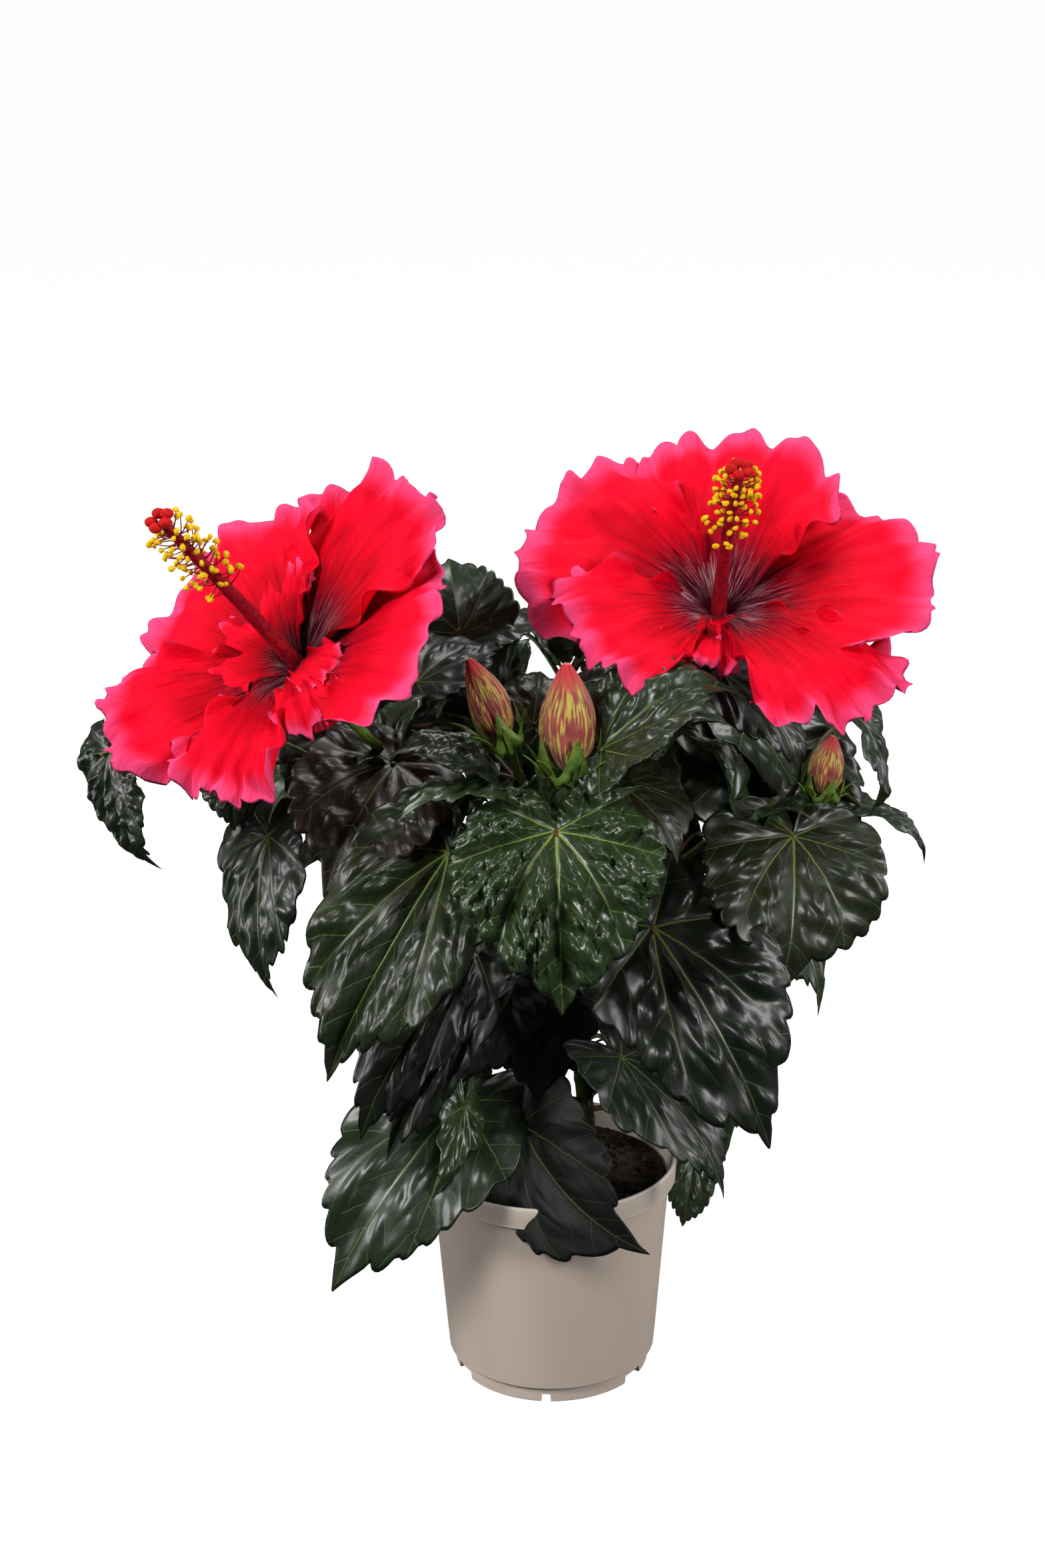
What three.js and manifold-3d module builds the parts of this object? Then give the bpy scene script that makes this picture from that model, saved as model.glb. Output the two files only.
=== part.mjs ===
// Potted hibiscus shrub: a nursery pot of compost, three woody stems with their boughs,
// masses of drooping leaves, two open blooms with their staminal columns, and three buds.
// Millimetres, +Z up. The origin is the centre of the pot's underside; -Y is the plant's front.
import * as THREE from "three";
import { mergeVertices } from "three/addons/utils/BufferGeometryUtils.js";
import Module from "manifold-3d";

const wasm = await Module();
wasm.setup();

// ---------- driving dimensions ----------
const GAP = 0.35; // clearance kept between neighbouring solids

const POT = {
  height: 108, // foot to top of rim
  rimRadius: 60, // outside of the rim band
  rimBand: 11, // height of the rim band
  wallTop: 57, // wall's outer radius under the band
  wallFoot: 51, // wall's outer radius just above the foot
  footRadius: 47, // outside of the foot ring
  footHeight: 8,
  footWidth: 3,
  wall: 1.6,
  floor: 3, // thickness of the floor, and its height above the ground
  padRadius: 25, // flat pad in the middle that stands on the ground
  segments: 24,
};
const DRAIN = { count: 6, radius: 4, ring: 35 };
const NOTCH = { count: 6, wide: 12, narrow: 4, height: 4 };
const SOIL = { top: 98, dome: 2 };

const LEAF = {
  thickness: 4, // at the middle of a blade; the margin is sharp
  arch: 0.45, // how far the midrib bows out of its chord
  margin: [0.2, 0.75, 1.45, 2.45], // directions of the margin's corners on each side, in radians
  spine: [0.5, 0], // ridge points on the midrib, as shares of blade length
  petiole: [1.5, 1.1], // radius at the twig and at the blade
  hub: 8, // radius of the knot of twig from which a mass's petioles grow
};
const PETAL = { thickness: 3.2, across: 4, along: 2 };
const THROAT = { depth: 20, rise: 7, foot: 5, mouth: 13 };
const COLUMN = { radius: 2.4, brush: 11, brushFrom: 0.52, brushTo: 0.94 };

// Each stem and bough: points along its middle, with the radius at its foot and at its end.
const LIMBS = {
  stem_right: { path: [[18, 0, 100.6], [16, 0, 140], [12, -1, 180], [15, -6, 232]], radii: [4.4, 2.9] },
  stem_left: { path: [[-31, -5, 100.6], [-32, -5, 160], [-38, -8, 222]], radii: [3.8, 2.6] },
  stem_back: { path: [[0, 24, 100.6], [4, 30, 170], [0, 36, 240]], radii: [4, 2.8] },
  bough_bloom_left: { path: [[-39, -9, 227], [-62, -24, 300], [-94, -63, 352]], radii: [2.4, 2] },
  bough_bloom_right: { path: [[16, -6, 237], [46, 8, 305], [75, 2, 355]], radii: [2.6, 2] },
  bough_buds: { path: [[13, -9, 237], [10, -46, 276], [8, -74, 314]], radii: [2.3, 1.8] },
  bough_bud_left: { path: [[4, -64, 298], [-10, -68, 312], [-16, -70, 328]], radii: [1.4, 1.3] },
  bough_right: { path: [[21, -4, 222], [60, -8, 258], [96, -18, 286], [118, -20, 290]], radii: [2, 1.5] },
  bough_left: { path: [[-41, -12, 205], [-58, -32, 255], [-74, -34, 300]], radii: [2, 1.6] },
  bough_back_left: { path: [[-4, 37, 205], [-44, 58, 250], [-72, 66, 300]], radii: [2.2, 1.7] },
  bough_back_right: { path: [[8, 37, 210], [48, 60, 250], [82, 66, 300]], radii: [2.2, 1.7] },
  bough_back_top: { path: [[1, 38, 245], [6, 56, 288], [9, 68, 322]], radii: [2.2, 1.6] },
  bough_top: { path: [[-3, 40, 243], [-14, 45, 285], [-21, 44, 315]], radii: [1.9, 1.6] },
  bough_low_left: { path: [[-3, 33, 148], [-12, 47, 166], [-19, 56, 184]], radii: [1.8, 1.6] },
  bough_low_right: { path: [[9, 33, 150], [20, 46, 168], [28, 54, 184]], radii: [1.8, 1.6] },
  bough_side_left: { path: [[-40, 0, 204], [-50, 20, 226], [-58, 37, 241]], radii: [1.9, 1.6] },
  bough_side_right: { path: [[17, 3, 188], [46, 26, 208], [66, 43, 224]], radii: [1.9, 1.6] },
};

// Blooms: throat, direction the column points, direction of the first petal's side, column length, and
// for each petal its turn about the axis, length, half width as an angle, opening angle, and fall at the lip.
const BLOOMS = {
  left: {
    throat: [-104, -75, 369], axis: [-49, -60, 78], up: [0.3, 1, 0.5], column: 110,
    petals: [[-28, 98, 38, 34, 8], [-92, 92, 46, 22, -10], [-174, 88, 28, 40, 15], [124, 92, 30, 30, 0], [60, 84, 36, 40, 10]],
  },
  right: {
    throat: [76, -10, 374], axis: [4, -52, 77], up: [0, 1, 0.5], column: 93,
    petals: [[-5, 94, 40, 44, 5], [-78, 100, 36, 31, 0], [-150, 102, 30, 45, 20], [134, 94, 34, 42, 5], [74, 100, 36, 40, 12]],
  },
};

// Buds: foot of the calyx, tip, and greatest radius.
const BUDS = {
  middle: { foot: [8, -75, 319], tip: [7, -80, 372], radius: 12 },
  left: { foot: [-17, -70, 332], tip: [-34, -70, 372], radius: 9 },
  right: { foot: [122, -20, 291], tip: [127, -22, 322], radius: 9 },
};

// Leaves placed one by one: [joint of blade and stalk, tip, width, direction the upper face looks].
// A mass's hub is where its leaf stalks start.
const FRONT = [0, -1, 0.45];
const UP = [0, -0.15, 1];
const MASSES = {
  leaves_front: { hub: [9, -54, 286], leaves: [[[2, -95, 303], [4, -126, 232], 88, FRONT], [[32, -40, 305], [58, -52, 274], 56, UP]] },
  leaves_front_right: { hub: [30, -10, 236], leaves: [[[45, -60, 246], [99, -85, 149], 84, [0.25, -1, 0.5]]] },
  leaves_low_right: { hub: [25, 0, 158], leaves: [[[32, -45, 177], [80, -66, 117], 62, [0.7, -0.7, 0.7]], [[72, 42, 84], [66, 34, 49], 28, FRONT]] },
  leaves_right: {
    hub: [88, -16, 276],
    leaves: [[[110, -25, 276], [104, -55, 212], 88, [0.2, -1, 0.6]], [[148, 30, 272], [182, 40, 239], 30, UP],
      [[144, 20, 319], [155, 26, 269], 48, [1, -0.3, 0.5]], [[62, 20, 252], [108, 32, 227], 56, UP]],
  },
  leaves_bloom_right: {
    hub: [44, 6, 300],
    leaves: [[[22, -76, 334], [76, -45, 372], 60, UP], [[76, -8, 350], [115, -22, 300], 58, UP], [[24, -20, 332], [68, 26, 340], 54, UP]],
  },
  leaves_top: {
    hub: [-22, 44, 322],
    leaves: [[[-40, 35, 356], [-46, 60, 388], 56, FRONT], [[-36, 36, 352], [4, 46, 356], 48, UP], [[-59, -5, 344], [-22, 30, 352], 56, UP],
      [[-20, 12, 330], [-52, 20, 346], 50, UP], [[-7, 0, 322], [-3, 26, 341], 40, FRONT]],
  },
  leaves_centre: {
    hub: [-6, -58, 300],
    leaves: [[[-22, -62, 318], [-68, -72, 334], 48, UP], [[-21, -66, 312], [-64, -118, 318], 38, [0, 0.5, 1]], [[-64, -2, 322], [-94, 10, 332], 50, UP]],
  },
  leaves_left: {
    hub: [-58, -33, 262],
    leaves: [[[-44, -75, 287], [-99, -100, 191], 80, [-0.2, -1, 0.4]], [[-68, -45, 318], [-99, -82, 272], 74, [-0.2, -1, 0.6]],
      [[-80, -12, 320], [-120, -32, 292], 60, [-0.2, -0.8, 0.9]]],
  },
  leaves_outer_left: {
    hub: [-76, -34, 306],
    leaves: [[[-126, -30, 280], [-125, -46, 207], 52, [-0.7, -0.9, 0.3]], [[-196, -22, 318], [-176, -32, 264], 44, [-0.8, -0.7, 0.4]],
      [[-142, -14, 304], [-142, -26, 281], 30, FRONT]],
  },
  leaves_middle: {
    hub: [-39, -12, 200],
    leaves: [[[-34, -45, 230], [-88, -76, 153], 56, [-0.3, -1, 0.3]], [[-30, -48, 226], [-76, -70, 137], 42, [0.2, -1, 0.3]],
      [[-26, -18, 216], [-42, -38, 160], 66, FRONT]],
  },
  leaves_low_left: {
    hub: [-38, -9, 150],
    leaves: [[[-42, -32, 150], [-104, -72, 74], 78, [-0.5, -0.7, 0.8]], [[-40, -46, 154], [-56, -64, 103], 28, [0.8, -0.6, 0.5]]],
  },
  leaves_low_front: {
    hub: [12, -6, 132],
    leaves: [[[-14, -32, 138], [38, -80, 93], 78, [-0.1, -0.8, 0.8]], [[-6, -16, 212], [-6, -40, 152], 66, FRONT]],
  },
};

// Leafy shoots of the sides and back, grown by rule: hub, length and heading of the shoot, leaf count,
// blade length, and how far the lowest leaf hangs (degrees below level).
const SHOOTS = {
  leaves_back_left: { hub: [-66, 66, 292], rise: 34, turn: 150, leaves: 6, blade: 88, hang: 62, reach: 0.9 },
  leaves_back_right: { hub: [76, 66, 292], rise: 34, turn: 40, leaves: 6, blade: 90, hang: 62, reach: 0.9 },
  leaves_back_top: { hub: [10, 70, 330], rise: 26, turn: 80, leaves: 4, blade: 72, hang: 45, reach: 1 },
  leaves_back_low_left: { hub: [-20, 58, 190], rise: 30, turn: 120, leaves: 5, blade: 92, hang: 66, reach: 1 },
  leaves_back_low_right: { hub: [30, 56, 190], rise: 30, turn: 50, leaves: 5, blade: 92, hang: 66, reach: 1 },
  leaves_side_left: { hub: [-60, 40, 246], rise: 24, turn: 140, leaves: 4, blade: 68, hang: 60, reach: 1 },
  leaves_side_right: { hub: [70, 46, 230], rise: 24, turn: 62, leaves: 4, blade: 72, hang: 62, reach: 1 },
};
const GOLDEN_ANGLE = 137.5;

// ---------- helpers ----------
const vec = (a) => new THREE.Vector3(...a);
const degrees = THREE.MathUtils.degToRad;

// A repeatable number from 0 to 1 for a whole number k.
function chance(k) {
  const s = Math.sin(k * 12.9898) * 43758.5453;
  return s - Math.floor(s);
}

// The closed mesh of points and faces as a solid, turned right side out.
function solidFrom(positions, faces) {
  const geometry = new THREE.BufferGeometry();
  geometry.setAttribute("position", new THREE.Float32BufferAttribute(positions, 3));
  geometry.setIndex(faces);
  return solidOf(geometry);
}

function solidOf(geometry) {
  const bare = geometry.clone();
  bare.deleteAttribute("normal");
  bare.deleteAttribute("uv");
  const merged = mergeVertices(bare, 1e-4);
  const vertProperties = new Float32Array(merged.attributes.position.array);
  const triVerts = new Uint32Array(merged.index.array);
  const solid = new wasm.Manifold(new wasm.Mesh({ numProp: 3, vertProperties, triVerts }));
  if (solid.volume() > 0) return solid;
  const turned = triVerts.map((_, i) => triVerts[i - (i % 3) + (2 - (i % 3))]);
  return new wasm.Manifold(new wasm.Mesh({ numProp: 3, vertProperties, triVerts: turned }));
}

const union = (solids) => solids.reduce((a, b) => a.add(b));

// A tapering limb: rings of points carried along a smooth curve, closed at both ends.
function limb(path, radii, sides = 5, steps = 3, grow = 0) {
  const curve = new THREE.CatmullRomCurve3(path.map(vec));
  const frames = curve.computeFrenetFrames(steps, false);
  const positions = [];
  const faces = [];
  for (let i = 0; i <= steps; i++) {
    const centre = curve.getPointAt(i / steps);
    if (grow && i === 0) centre.addScaledVector(frames.tangents[0], -grow);
    if (grow && i === steps) centre.addScaledVector(frames.tangents[steps], grow);
    const radius = radii[0] + ((radii[1] - radii[0]) * i) / steps + grow;
    for (let k = 0; k < sides; k++) {
      const a = (2 * Math.PI * k) / sides;
      const p = centre.clone()
        .addScaledVector(frames.normals[i], radius * Math.cos(a))
        .addScaledVector(frames.binormals[i], radius * Math.sin(a));
      positions.push(p.x, p.y, p.z);
    }
  }
  for (let i = 0; i < steps; i++)
    for (let k = 0; k < sides; k++) {
      const a = i * sides + k;
      const b = i * sides + ((k + 1) % sides);
      faces.push(a, b, a + sides, b, b + sides, a + sides);
    }
  const last = steps * sides;
  for (let k = 1; k < sides - 1; k++) faces.push(0, k + 1, k, last, last + k, last + k + 1);
  return solidFrom(positions, faces);
}

// The knot of twig from which a mass's leaf stalks grow.
function knot(centre, radius) {
  const geometry = new THREE.OctahedronGeometry(radius);
  geometry.translate(...centre);
  return solidOf(geometry);
}

// A spindle turned about the line from foot to tip; profile rows are [share of length, radius].
function spindle(foot, tip, profile, sides = 10) {
  const axis = vec(tip).sub(vec(foot));
  const points = profile.map(([s, r]) => new THREE.Vector2(r, s * axis.length()));
  const geometry = new THREE.LatheGeometry(points, sides);
  geometry.applyQuaternion(new THREE.Quaternion().setFromUnitVectors(new THREE.Vector3(0, 1, 0), axis.normalize()));
  geometry.translate(...foot);
  return solidOf(geometry);
}

// ---------- leaves ----------
// Distance from the leaf stalk's joint to the margin, as a share of blade length, in the direction
// that turns by angle from the midrib: a heart shape with a drawn-out tip.
function marginAt(angle) {
  const a = Math.abs(angle);
  const heart = 0.44 + 0.24 * Math.cos(a) + 0.32 * Math.exp(-a / 0.16);
  return heart - 0.19 * Math.exp(-(((Math.PI - a) / 0.28) ** 2));
}
const BLADE_SPREAD = 0.98; // width of that heart shape, as a share of its length

// One blade as a thin lens bent over its midrib: ridge points above and below the midrib are fanned
// to the margin's corners, from the tip back to the notch behind the stalk.
function blade([joint, tip, width, face], grow = 0) {
  const base = vec(joint);
  const along = vec(tip).sub(base);
  const length = along.length();
  along.normalize();
  const normal = vec(face);
  normal.addScaledVector(along, -normal.dot(along)).normalize();
  const side = new THREE.Vector3().crossVectors(normal, along);
  const place = (x, y, offset) => {
    const arch = LEAF.arch * x * (1 - x) * length;
    return base.clone().addScaledVector(along, x * length).addScaledVector(side, (y * width) / BLADE_SPREAD)
      .addScaledVector(normal, arch + offset).toArray();
  };
  const swell = 1 + grow / 20;
  const corner = (angle, offset) => {
    const r = marginAt(angle) * swell;
    return place(r * Math.cos(angle), r * Math.sin(angle), offset);
  };
  const turns = [0, ...LEAF.margin, Math.PI];
  const loop = [...turns, ...LEAF.margin.map((a) => -a).reverse()];
  const count = loop.length;
  const layer = count + LEAF.spine.length; // points in the upper or lower skin
  const positions = [];
  const faces = [];
  for (const sign of [1, -1]) {
    const first = positions.length / 3;
    for (const a of loop) positions.push(...corner(a, sign * grow));
    for (const x of LEAF.spine) positions.push(...place(x, 0, sign * (LEAF.thickness / 2 + grow)));
    for (const flip of [1, -1]) {
      let ridge = 0;
      for (let k = 0; k < turns.length - 1; k++) {
        const [p, q] = [first + ((count + flip * k) % count), first + ((count + flip * (k + 1)) % count)];
        const trio = [[first + count + ridge, p, q]];
        const reach = marginAt(turns[k + 1]) * Math.cos(turns[k + 1]);
        while (ridge < LEAF.spine.length - 1 && LEAF.spine[ridge] > reach) {
          trio.push([first + count + ridge, q, first + count + ridge + 1]);
          ridge += 1;
        }
        for (const [a, b, c] of trio) faces.push(...(sign * flip > 0 ? [a, b, c] : [a, c, b]));
      }
    }
  }
  if (grow)
    for (let k = 0; k < count; k++) {
      const m = (k + 1) % count;
      faces.push(k, k + layer, m, m, k + layer, m + layer);
    }
  return solidFrom(positions, faces);
}

// A leaf stalk from hub to joint, arched a little upwards.
function petiole(hub, joint, grow = 0) {
  const end = vec(joint);
  const middle = vec(hub).lerp(end, 0.5);
  middle.z += 0.1 * vec(hub).distanceTo(end);
  return limb([hub, middle.toArray(), end.toArray()], LEAF.petiole, 3, 2, grow);
}

// The leaves of a shoot that nobody placed by hand: each next leaf turns by the golden angle, is
// drawn towards the outside of the plant, and hangs less the higher it grows.
function shootLeaves({ hub, rise, turn, leaves, blade: bladeLength, hang, reach }, seed) {
  return Array.from({ length: leaves }, (_, i) => {
    const share = (i + 0.5) / leaves;
    const heading = degrees(turn + (GOLDEN_ANGLE * i % 360 - 180) * 0.55 + 24 * (chance(seed + i) - 0.5));
    const out = new THREE.Vector3(Math.cos(heading), Math.sin(heading), 0);
    const stalk = 26 + 14 * chance(seed + i + 50);
    const size = bladeLength * (1.08 - 0.3 * share) * (0.92 + 0.16 * chance(seed + i + 90));
    const joint = vec(hub).addScaledVector(out, stalk * reach);
    joint.z += rise * (share - 0.35) + 8;
    const drop = degrees(hang * (1 - 0.45 * share));
    const tip = joint.clone().addScaledVector(out, size * Math.cos(drop));
    tip.z -= size * Math.sin(drop);
    return [joint.toArray(), tip.toArray(), size * 0.86, [out.x * 0.5, out.y * 0.5, 1]];
  });
}

// ---------- blooms and buds ----------
function bloomFrame({ throat, axis, up }) {
  const out = vec(axis).normalize();
  const u = vec(up);
  u.addScaledVector(out, -u.dot(out)).normalize();
  return { centre: vec(throat), out, u, v: new THREE.Vector3().crossVectors(out, u) };
}

// One petal: a fan that opens from the throat, first steep and then flatter, thick as a slab.
function petal(frame, [turn, length, halfAngle, open, fall], grow = 0) {
  const a = degrees(turn);
  const radial = frame.u.clone().multiplyScalar(Math.cos(a)).addScaledVector(frame.v, Math.sin(a));
  const sideways = frame.v.clone().multiplyScalar(Math.cos(a)).addScaledVector(frame.u, -Math.sin(a));
  const start = degrees(open);
  const change = -degrees(fall) - start;
  const place = (s, t, offset) => {
    const r = s * (1 - 0.16 * Math.abs(t) ** 3);
    const x = r * Math.cos(degrees(halfAngle) * t);
    const y = r * Math.sin(degrees(halfAngle) * t);
    const rise = (Math.cos(start) - Math.cos(start + change * x)) / change;
    const run = (Math.sin(start + change * x) - Math.sin(start)) / change;
    return frame.centre.clone().addScaledVector(radial, run * length)
      .addScaledVector(sideways, y * length).addScaledVector(frame.out, rise * length + offset);
  };
  const { across, along } = PETAL;
  const half = PETAL.thickness / 2 + grow;
  const positions = [];
  const faces = [];
  const rows = along + 1;
  const columns = across + 1;
  for (const sign of [1, -1])
    for (let i = 0; i < rows; i++)
      for (let k = 0; k < columns; k++)
        positions.push(...place(0.06 + 0.94 * (i / along), (2 * k) / across - 1, sign * half).toArray());
  const back = rows * columns;
  const at = (i, k) => i * columns + k;
  for (let i = 0; i < along; i++)
    for (let k = 0; k < across; k++) {
      const [a0, b0, c0, d0] = [at(i, k), at(i, k + 1), at(i + 1, k + 1), at(i + 1, k)];
      faces.push(a0, b0, c0, a0, c0, d0);
      faces.push(back + a0, back + c0, back + b0, back + a0, back + d0, back + c0);
    }
  const loop = [];
  for (let k = 0; k < across; k++) loop.push(at(0, k));
  for (let i = 0; i < along; i++) loop.push(at(i, across));
  for (let k = across; k > 0; k--) loop.push(at(along, k));
  for (let i = along; i > 0; i--) loop.push(at(i, 0));
  loop.forEach((p, k) => {
    const q = loop[(k + 1) % loop.length];
    faces.push(p, back + p, q, q, back + p, back + q);
  });
  return solidFrom(positions, faces);
}

function bloom(spec, grow = 0) {
  const frame = bloomFrame(spec);
  const foot = frame.centre.clone().addScaledVector(frame.out, -THROAT.depth + 3).toArray();
  const mouth = frame.centre.clone().addScaledVector(frame.out, THROAT.rise).toArray();
  const throat = limb([foot, mouth], [THROAT.foot, THROAT.mouth], 8, 1, grow);
  return union([throat, ...spec.petals.map((p) => petal(frame, p, grow))]);
}

// The staminal column: a rod that carries the brush of anthers near its end.
function column(spec, grow = 0) {
  const frame = bloomFrame(spec);
  const at = (s) => frame.centre.clone()
    .addScaledVector(frame.out, THROAT.rise + GAP + s * (spec.column - THROAT.rise)).toArray();
  const rod = limb([at(0), at(1)], [COLUMN.radius + 0.6, COLUMN.radius], 8, 3, grow);
  const { brush, brushFrom, brushTo } = COLUMN;
  const r = brush + grow;
  const club = spindle(at(brushFrom), at(brushTo), [[0, 0], [0.15, r * 0.75], [0.6, r], [1, 0]], 7);
  return rod.add(club);
}

function bud({ foot, tip, radius }, grow = 0) {
  const r = radius + grow;
  return spindle(foot, tip, [[0, 0], [0.08, r * 0.9], [0.28, r * 1.15], [0.7, r * 0.7], [1, 0]], 8);
}

// ---------- pot and compost ----------
function turned(profile, segments = POT.segments) {
  const geometry = new THREE.LatheGeometry(profile.map(([r, z]) => new THREE.Vector2(r, z)), segments);
  geometry.rotateX(Math.PI / 2);
  return solidOf(geometry);
}

function pot() {
  const { height, rimRadius, rimBand, wallTop, wallFoot, footRadius, footHeight, footWidth, wall, floor, padRadius } = POT;
  const bandLow = height - rimBand;
  const shell = turned([
    [0, 0], [padRadius, 0], [padRadius + 1, floor], [footRadius - footWidth, floor],
    [footRadius - footWidth, 0], [footRadius, 0], [footRadius, footHeight],
    [wallFoot - 1, footHeight], [wallFoot, 20], [wallTop, bandLow],
    [rimRadius, bandLow], [rimRadius + 0.6, height], [rimRadius - 1.4, height],
    [rimRadius - 2.2, bandLow + 2], [wallTop - wall, bandLow - 2], [wallFoot - wall, 20],
    [wallFoot - wall - 3, 2 * floor], [0, 2 * floor],
  ]);
  const cutters = [];
  for (let k = 0; k < DRAIN.count; k++) {
    const a = degrees((360 * (k + 0.5)) / DRAIN.count);
    const hole = new THREE.CylinderGeometry(DRAIN.radius, DRAIN.radius, 4 * floor, 8);
    hole.rotateX(Math.PI / 2);
    hole.translate(DRAIN.ring * Math.cos(a), DRAIN.ring * Math.sin(a), 1.5 * floor);
    cutters.push(solidOf(hole));
  }
  for (let k = 0; k < NOTCH.count; k++) {
    const width = k % 2 ? NOTCH.wide : NOTCH.narrow;
    const notch = new THREE.BoxGeometry(3 * footWidth, width, 2 * NOTCH.height);
    notch.translate(footRadius - footWidth / 2, 0, 0);
    notch.rotateZ(degrees((360 * k) / NOTCH.count - 94));
    cutters.push(solidOf(notch));
  }
  return shell.subtract(union(cutters));
}

function compost() {
  const { wallTop, wallFoot, wall, floor, height, rimBand } = POT;
  const bandLow = height - rimBand;
  const inside = (r) => r - wall - GAP;
  return turned([
    [0, 2 * floor + GAP], [inside(wallFoot) - 3.2, 2 * floor + GAP],
    [inside(wallFoot) - 0.2, 20], [inside(wallTop) - 0.2, bandLow - 2],
    [inside(wallTop) - 0.2, SOIL.top], [0, SOIL.top + SOIL.dome],
  ]);
}

// ---------- materials ----------
const material = (color, roughness, metalness = 0) => new THREE.MeshStandardMaterial({ color, roughness, metalness });
const POT_PLASTIC = material(0x9b9187, 0.6);
const COMPOST = material(0x2a1f18, 0.95);
const BARK = material(0x8a6f55, 0.85);
const GREEN_STEM = material(0x4f5f2c, 0.6);
const FOLIAGE = material(0x1b2a1c, 0.4);
const PETALS = material(0xd8102e, 0.55);
const COLUMN_RED = material(0xb01020, 0.5);
const BUD = material(0x9c4a3c, 0.6);

// ---------- assembly ----------
const plant = new THREE.Group();
plant.name = "hibiscus_shrub";

function addNode(name, solid, look) {
  const pieces = solid.decompose();
  const whole = pieces.reduce((a, b) => (a.volume() > b.volume() ? a : b));
  const { vertProperties, triVerts } = whole.getMesh();
  const geometry = new THREE.BufferGeometry();
  geometry.setAttribute("position", new THREE.BufferAttribute(vertProperties, 3));
  geometry.setIndex(new THREE.BufferAttribute(triVerts, 1));
  geometry.computeVertexNormals();
  const mesh = new THREE.Mesh(geometry, look);
  mesh.name = name;
  plant.add(mesh);
}

const touches = (a, b) => {
  const [p, q] = [a.boundingBox(), b.boundingBox()];
  return [0, 1, 2].every((i) => p.min[i] < q.max[i] && q.min[i] < p.max[i]);
};
const cutBy = (solid, cutters) => cutters.reduce((s, c) => (touches(s, c) ? s.subtract(c) : s), solid);

addNode("pot", pot(), POT_PLASTIC);
addNode("compost", compost(), COMPOST);

// Everything that leaves are cut round, grown by the gap.
const grownLimbs = [];
for (const [name, { path, radii }] of Object.entries(LIMBS)) {
  const made = cutBy(limb(path, radii), grownLimbs);
  addNode(name, made, name.startsWith("stem") ? BARK : GREEN_STEM);
  grownLimbs.push(limb(path, radii, 5, 3, GAP));
}
const grownFlowers = [];
for (const [side, spec] of Object.entries(BLOOMS)) {
  addNode(`bloom_${side}`, cutBy(bloom(spec), [...grownLimbs, ...grownFlowers]), PETALS);
  grownFlowers.push(bloom(spec, GAP));
  addNode(`column_${side}`, cutBy(column(spec), grownFlowers), COLUMN_RED);
  grownFlowers.push(column(spec, GAP));
}
for (const [side, spec] of Object.entries(BUDS)) {
  addNode(`bud_${side}`, cutBy(bud(spec), [...grownLimbs, ...grownFlowers]), BUD);
  grownFlowers.push(bud(spec, GAP));
}
const fixed = [...grownLimbs, ...grownFlowers];

// Each mass is a hub, its leaf stalks and its blades. Stalks are cut only by limbs, flowers and
// earlier stalks; blades give way to every other mass's stalks and to earlier blades.
const masses = Object.entries(MASSES).map(([name, spec]) => ({ name, ...spec }));
Object.entries(SHOOTS).forEach(([name, spec], k) =>
  masses.push({ name, hub: spec.hub, leaves: shootLeaves(spec, 100 * (k + 1)) }));
for (const mass of masses) {
  const stalks = (grow) => union([knot(mass.hub, LEAF.hub + grow),
    ...mass.leaves.map(([joint]) => petiole(mass.hub, joint, grow))]);
  const blades = (grow) => union(mass.leaves.map((leaf) => blade(leaf, grow)));
  Object.assign(mass, { stalks: stalks(0), stalksGrown: stalks(GAP), blades: blades(0), bladesGrown: blades(GAP) });
}
const potGrown = turned([[0, -1], [POT.rimRadius + 1, -1], [POT.rimRadius + 1, POT.height + GAP], [0, POT.height + GAP]], 24);
masses.forEach((mass, k) => {
  const before = masses.slice(0, k);
  const others = masses.filter((m) => m !== mass);
  const stalks = cutBy(mass.stalks, [potGrown, ...fixed, ...before.map((m) => m.stalksGrown)]);
  const blades = cutBy(mass.blades, [potGrown, ...fixed, ...others.map((m) => m.stalksGrown), ...before.map((m) => m.bladesGrown)]);
  addNode(mass.name, stalks.add(blades), FOLIAGE);
});

export default plant;
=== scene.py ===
# %% [markdown]
# # A hibiscus shrub in its nursery pot
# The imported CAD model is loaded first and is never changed. It says where the pot, the stems, the
# masses of leaves and the blooms are, and every piece made here is built around it, in metres.

# %% The frame
import math

import bpy
import numpy as np
from mathutils import Matrix, Vector


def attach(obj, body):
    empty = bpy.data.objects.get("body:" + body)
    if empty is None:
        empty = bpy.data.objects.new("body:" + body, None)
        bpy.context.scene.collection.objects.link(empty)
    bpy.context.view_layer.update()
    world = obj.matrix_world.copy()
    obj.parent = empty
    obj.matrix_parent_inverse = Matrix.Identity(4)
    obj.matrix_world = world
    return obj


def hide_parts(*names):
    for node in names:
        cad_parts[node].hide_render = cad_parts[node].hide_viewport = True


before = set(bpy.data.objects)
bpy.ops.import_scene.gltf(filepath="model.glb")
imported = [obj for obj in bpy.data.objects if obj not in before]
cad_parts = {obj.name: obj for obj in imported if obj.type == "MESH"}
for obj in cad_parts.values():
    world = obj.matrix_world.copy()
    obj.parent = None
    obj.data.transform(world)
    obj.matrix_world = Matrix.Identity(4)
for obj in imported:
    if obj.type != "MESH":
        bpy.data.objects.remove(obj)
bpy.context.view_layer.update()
MM = 0.001

# %% [markdown]
# ## Camera
# The plant is looked down on a little, from the front. A camera is a lens, a place and a turn. The
# turn is written as two rotations, down from level and a slight roll, because that reads more plainly
# than three Euler angles.

# %% The camera
LENS = 58.14
CAMERA_PLACE = (-0.0119, -1.1056, 0.6473)
CAMERA_DOWN = math.radians(17.73)
CAMERA_ROLL = math.radians(-0.51)


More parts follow.
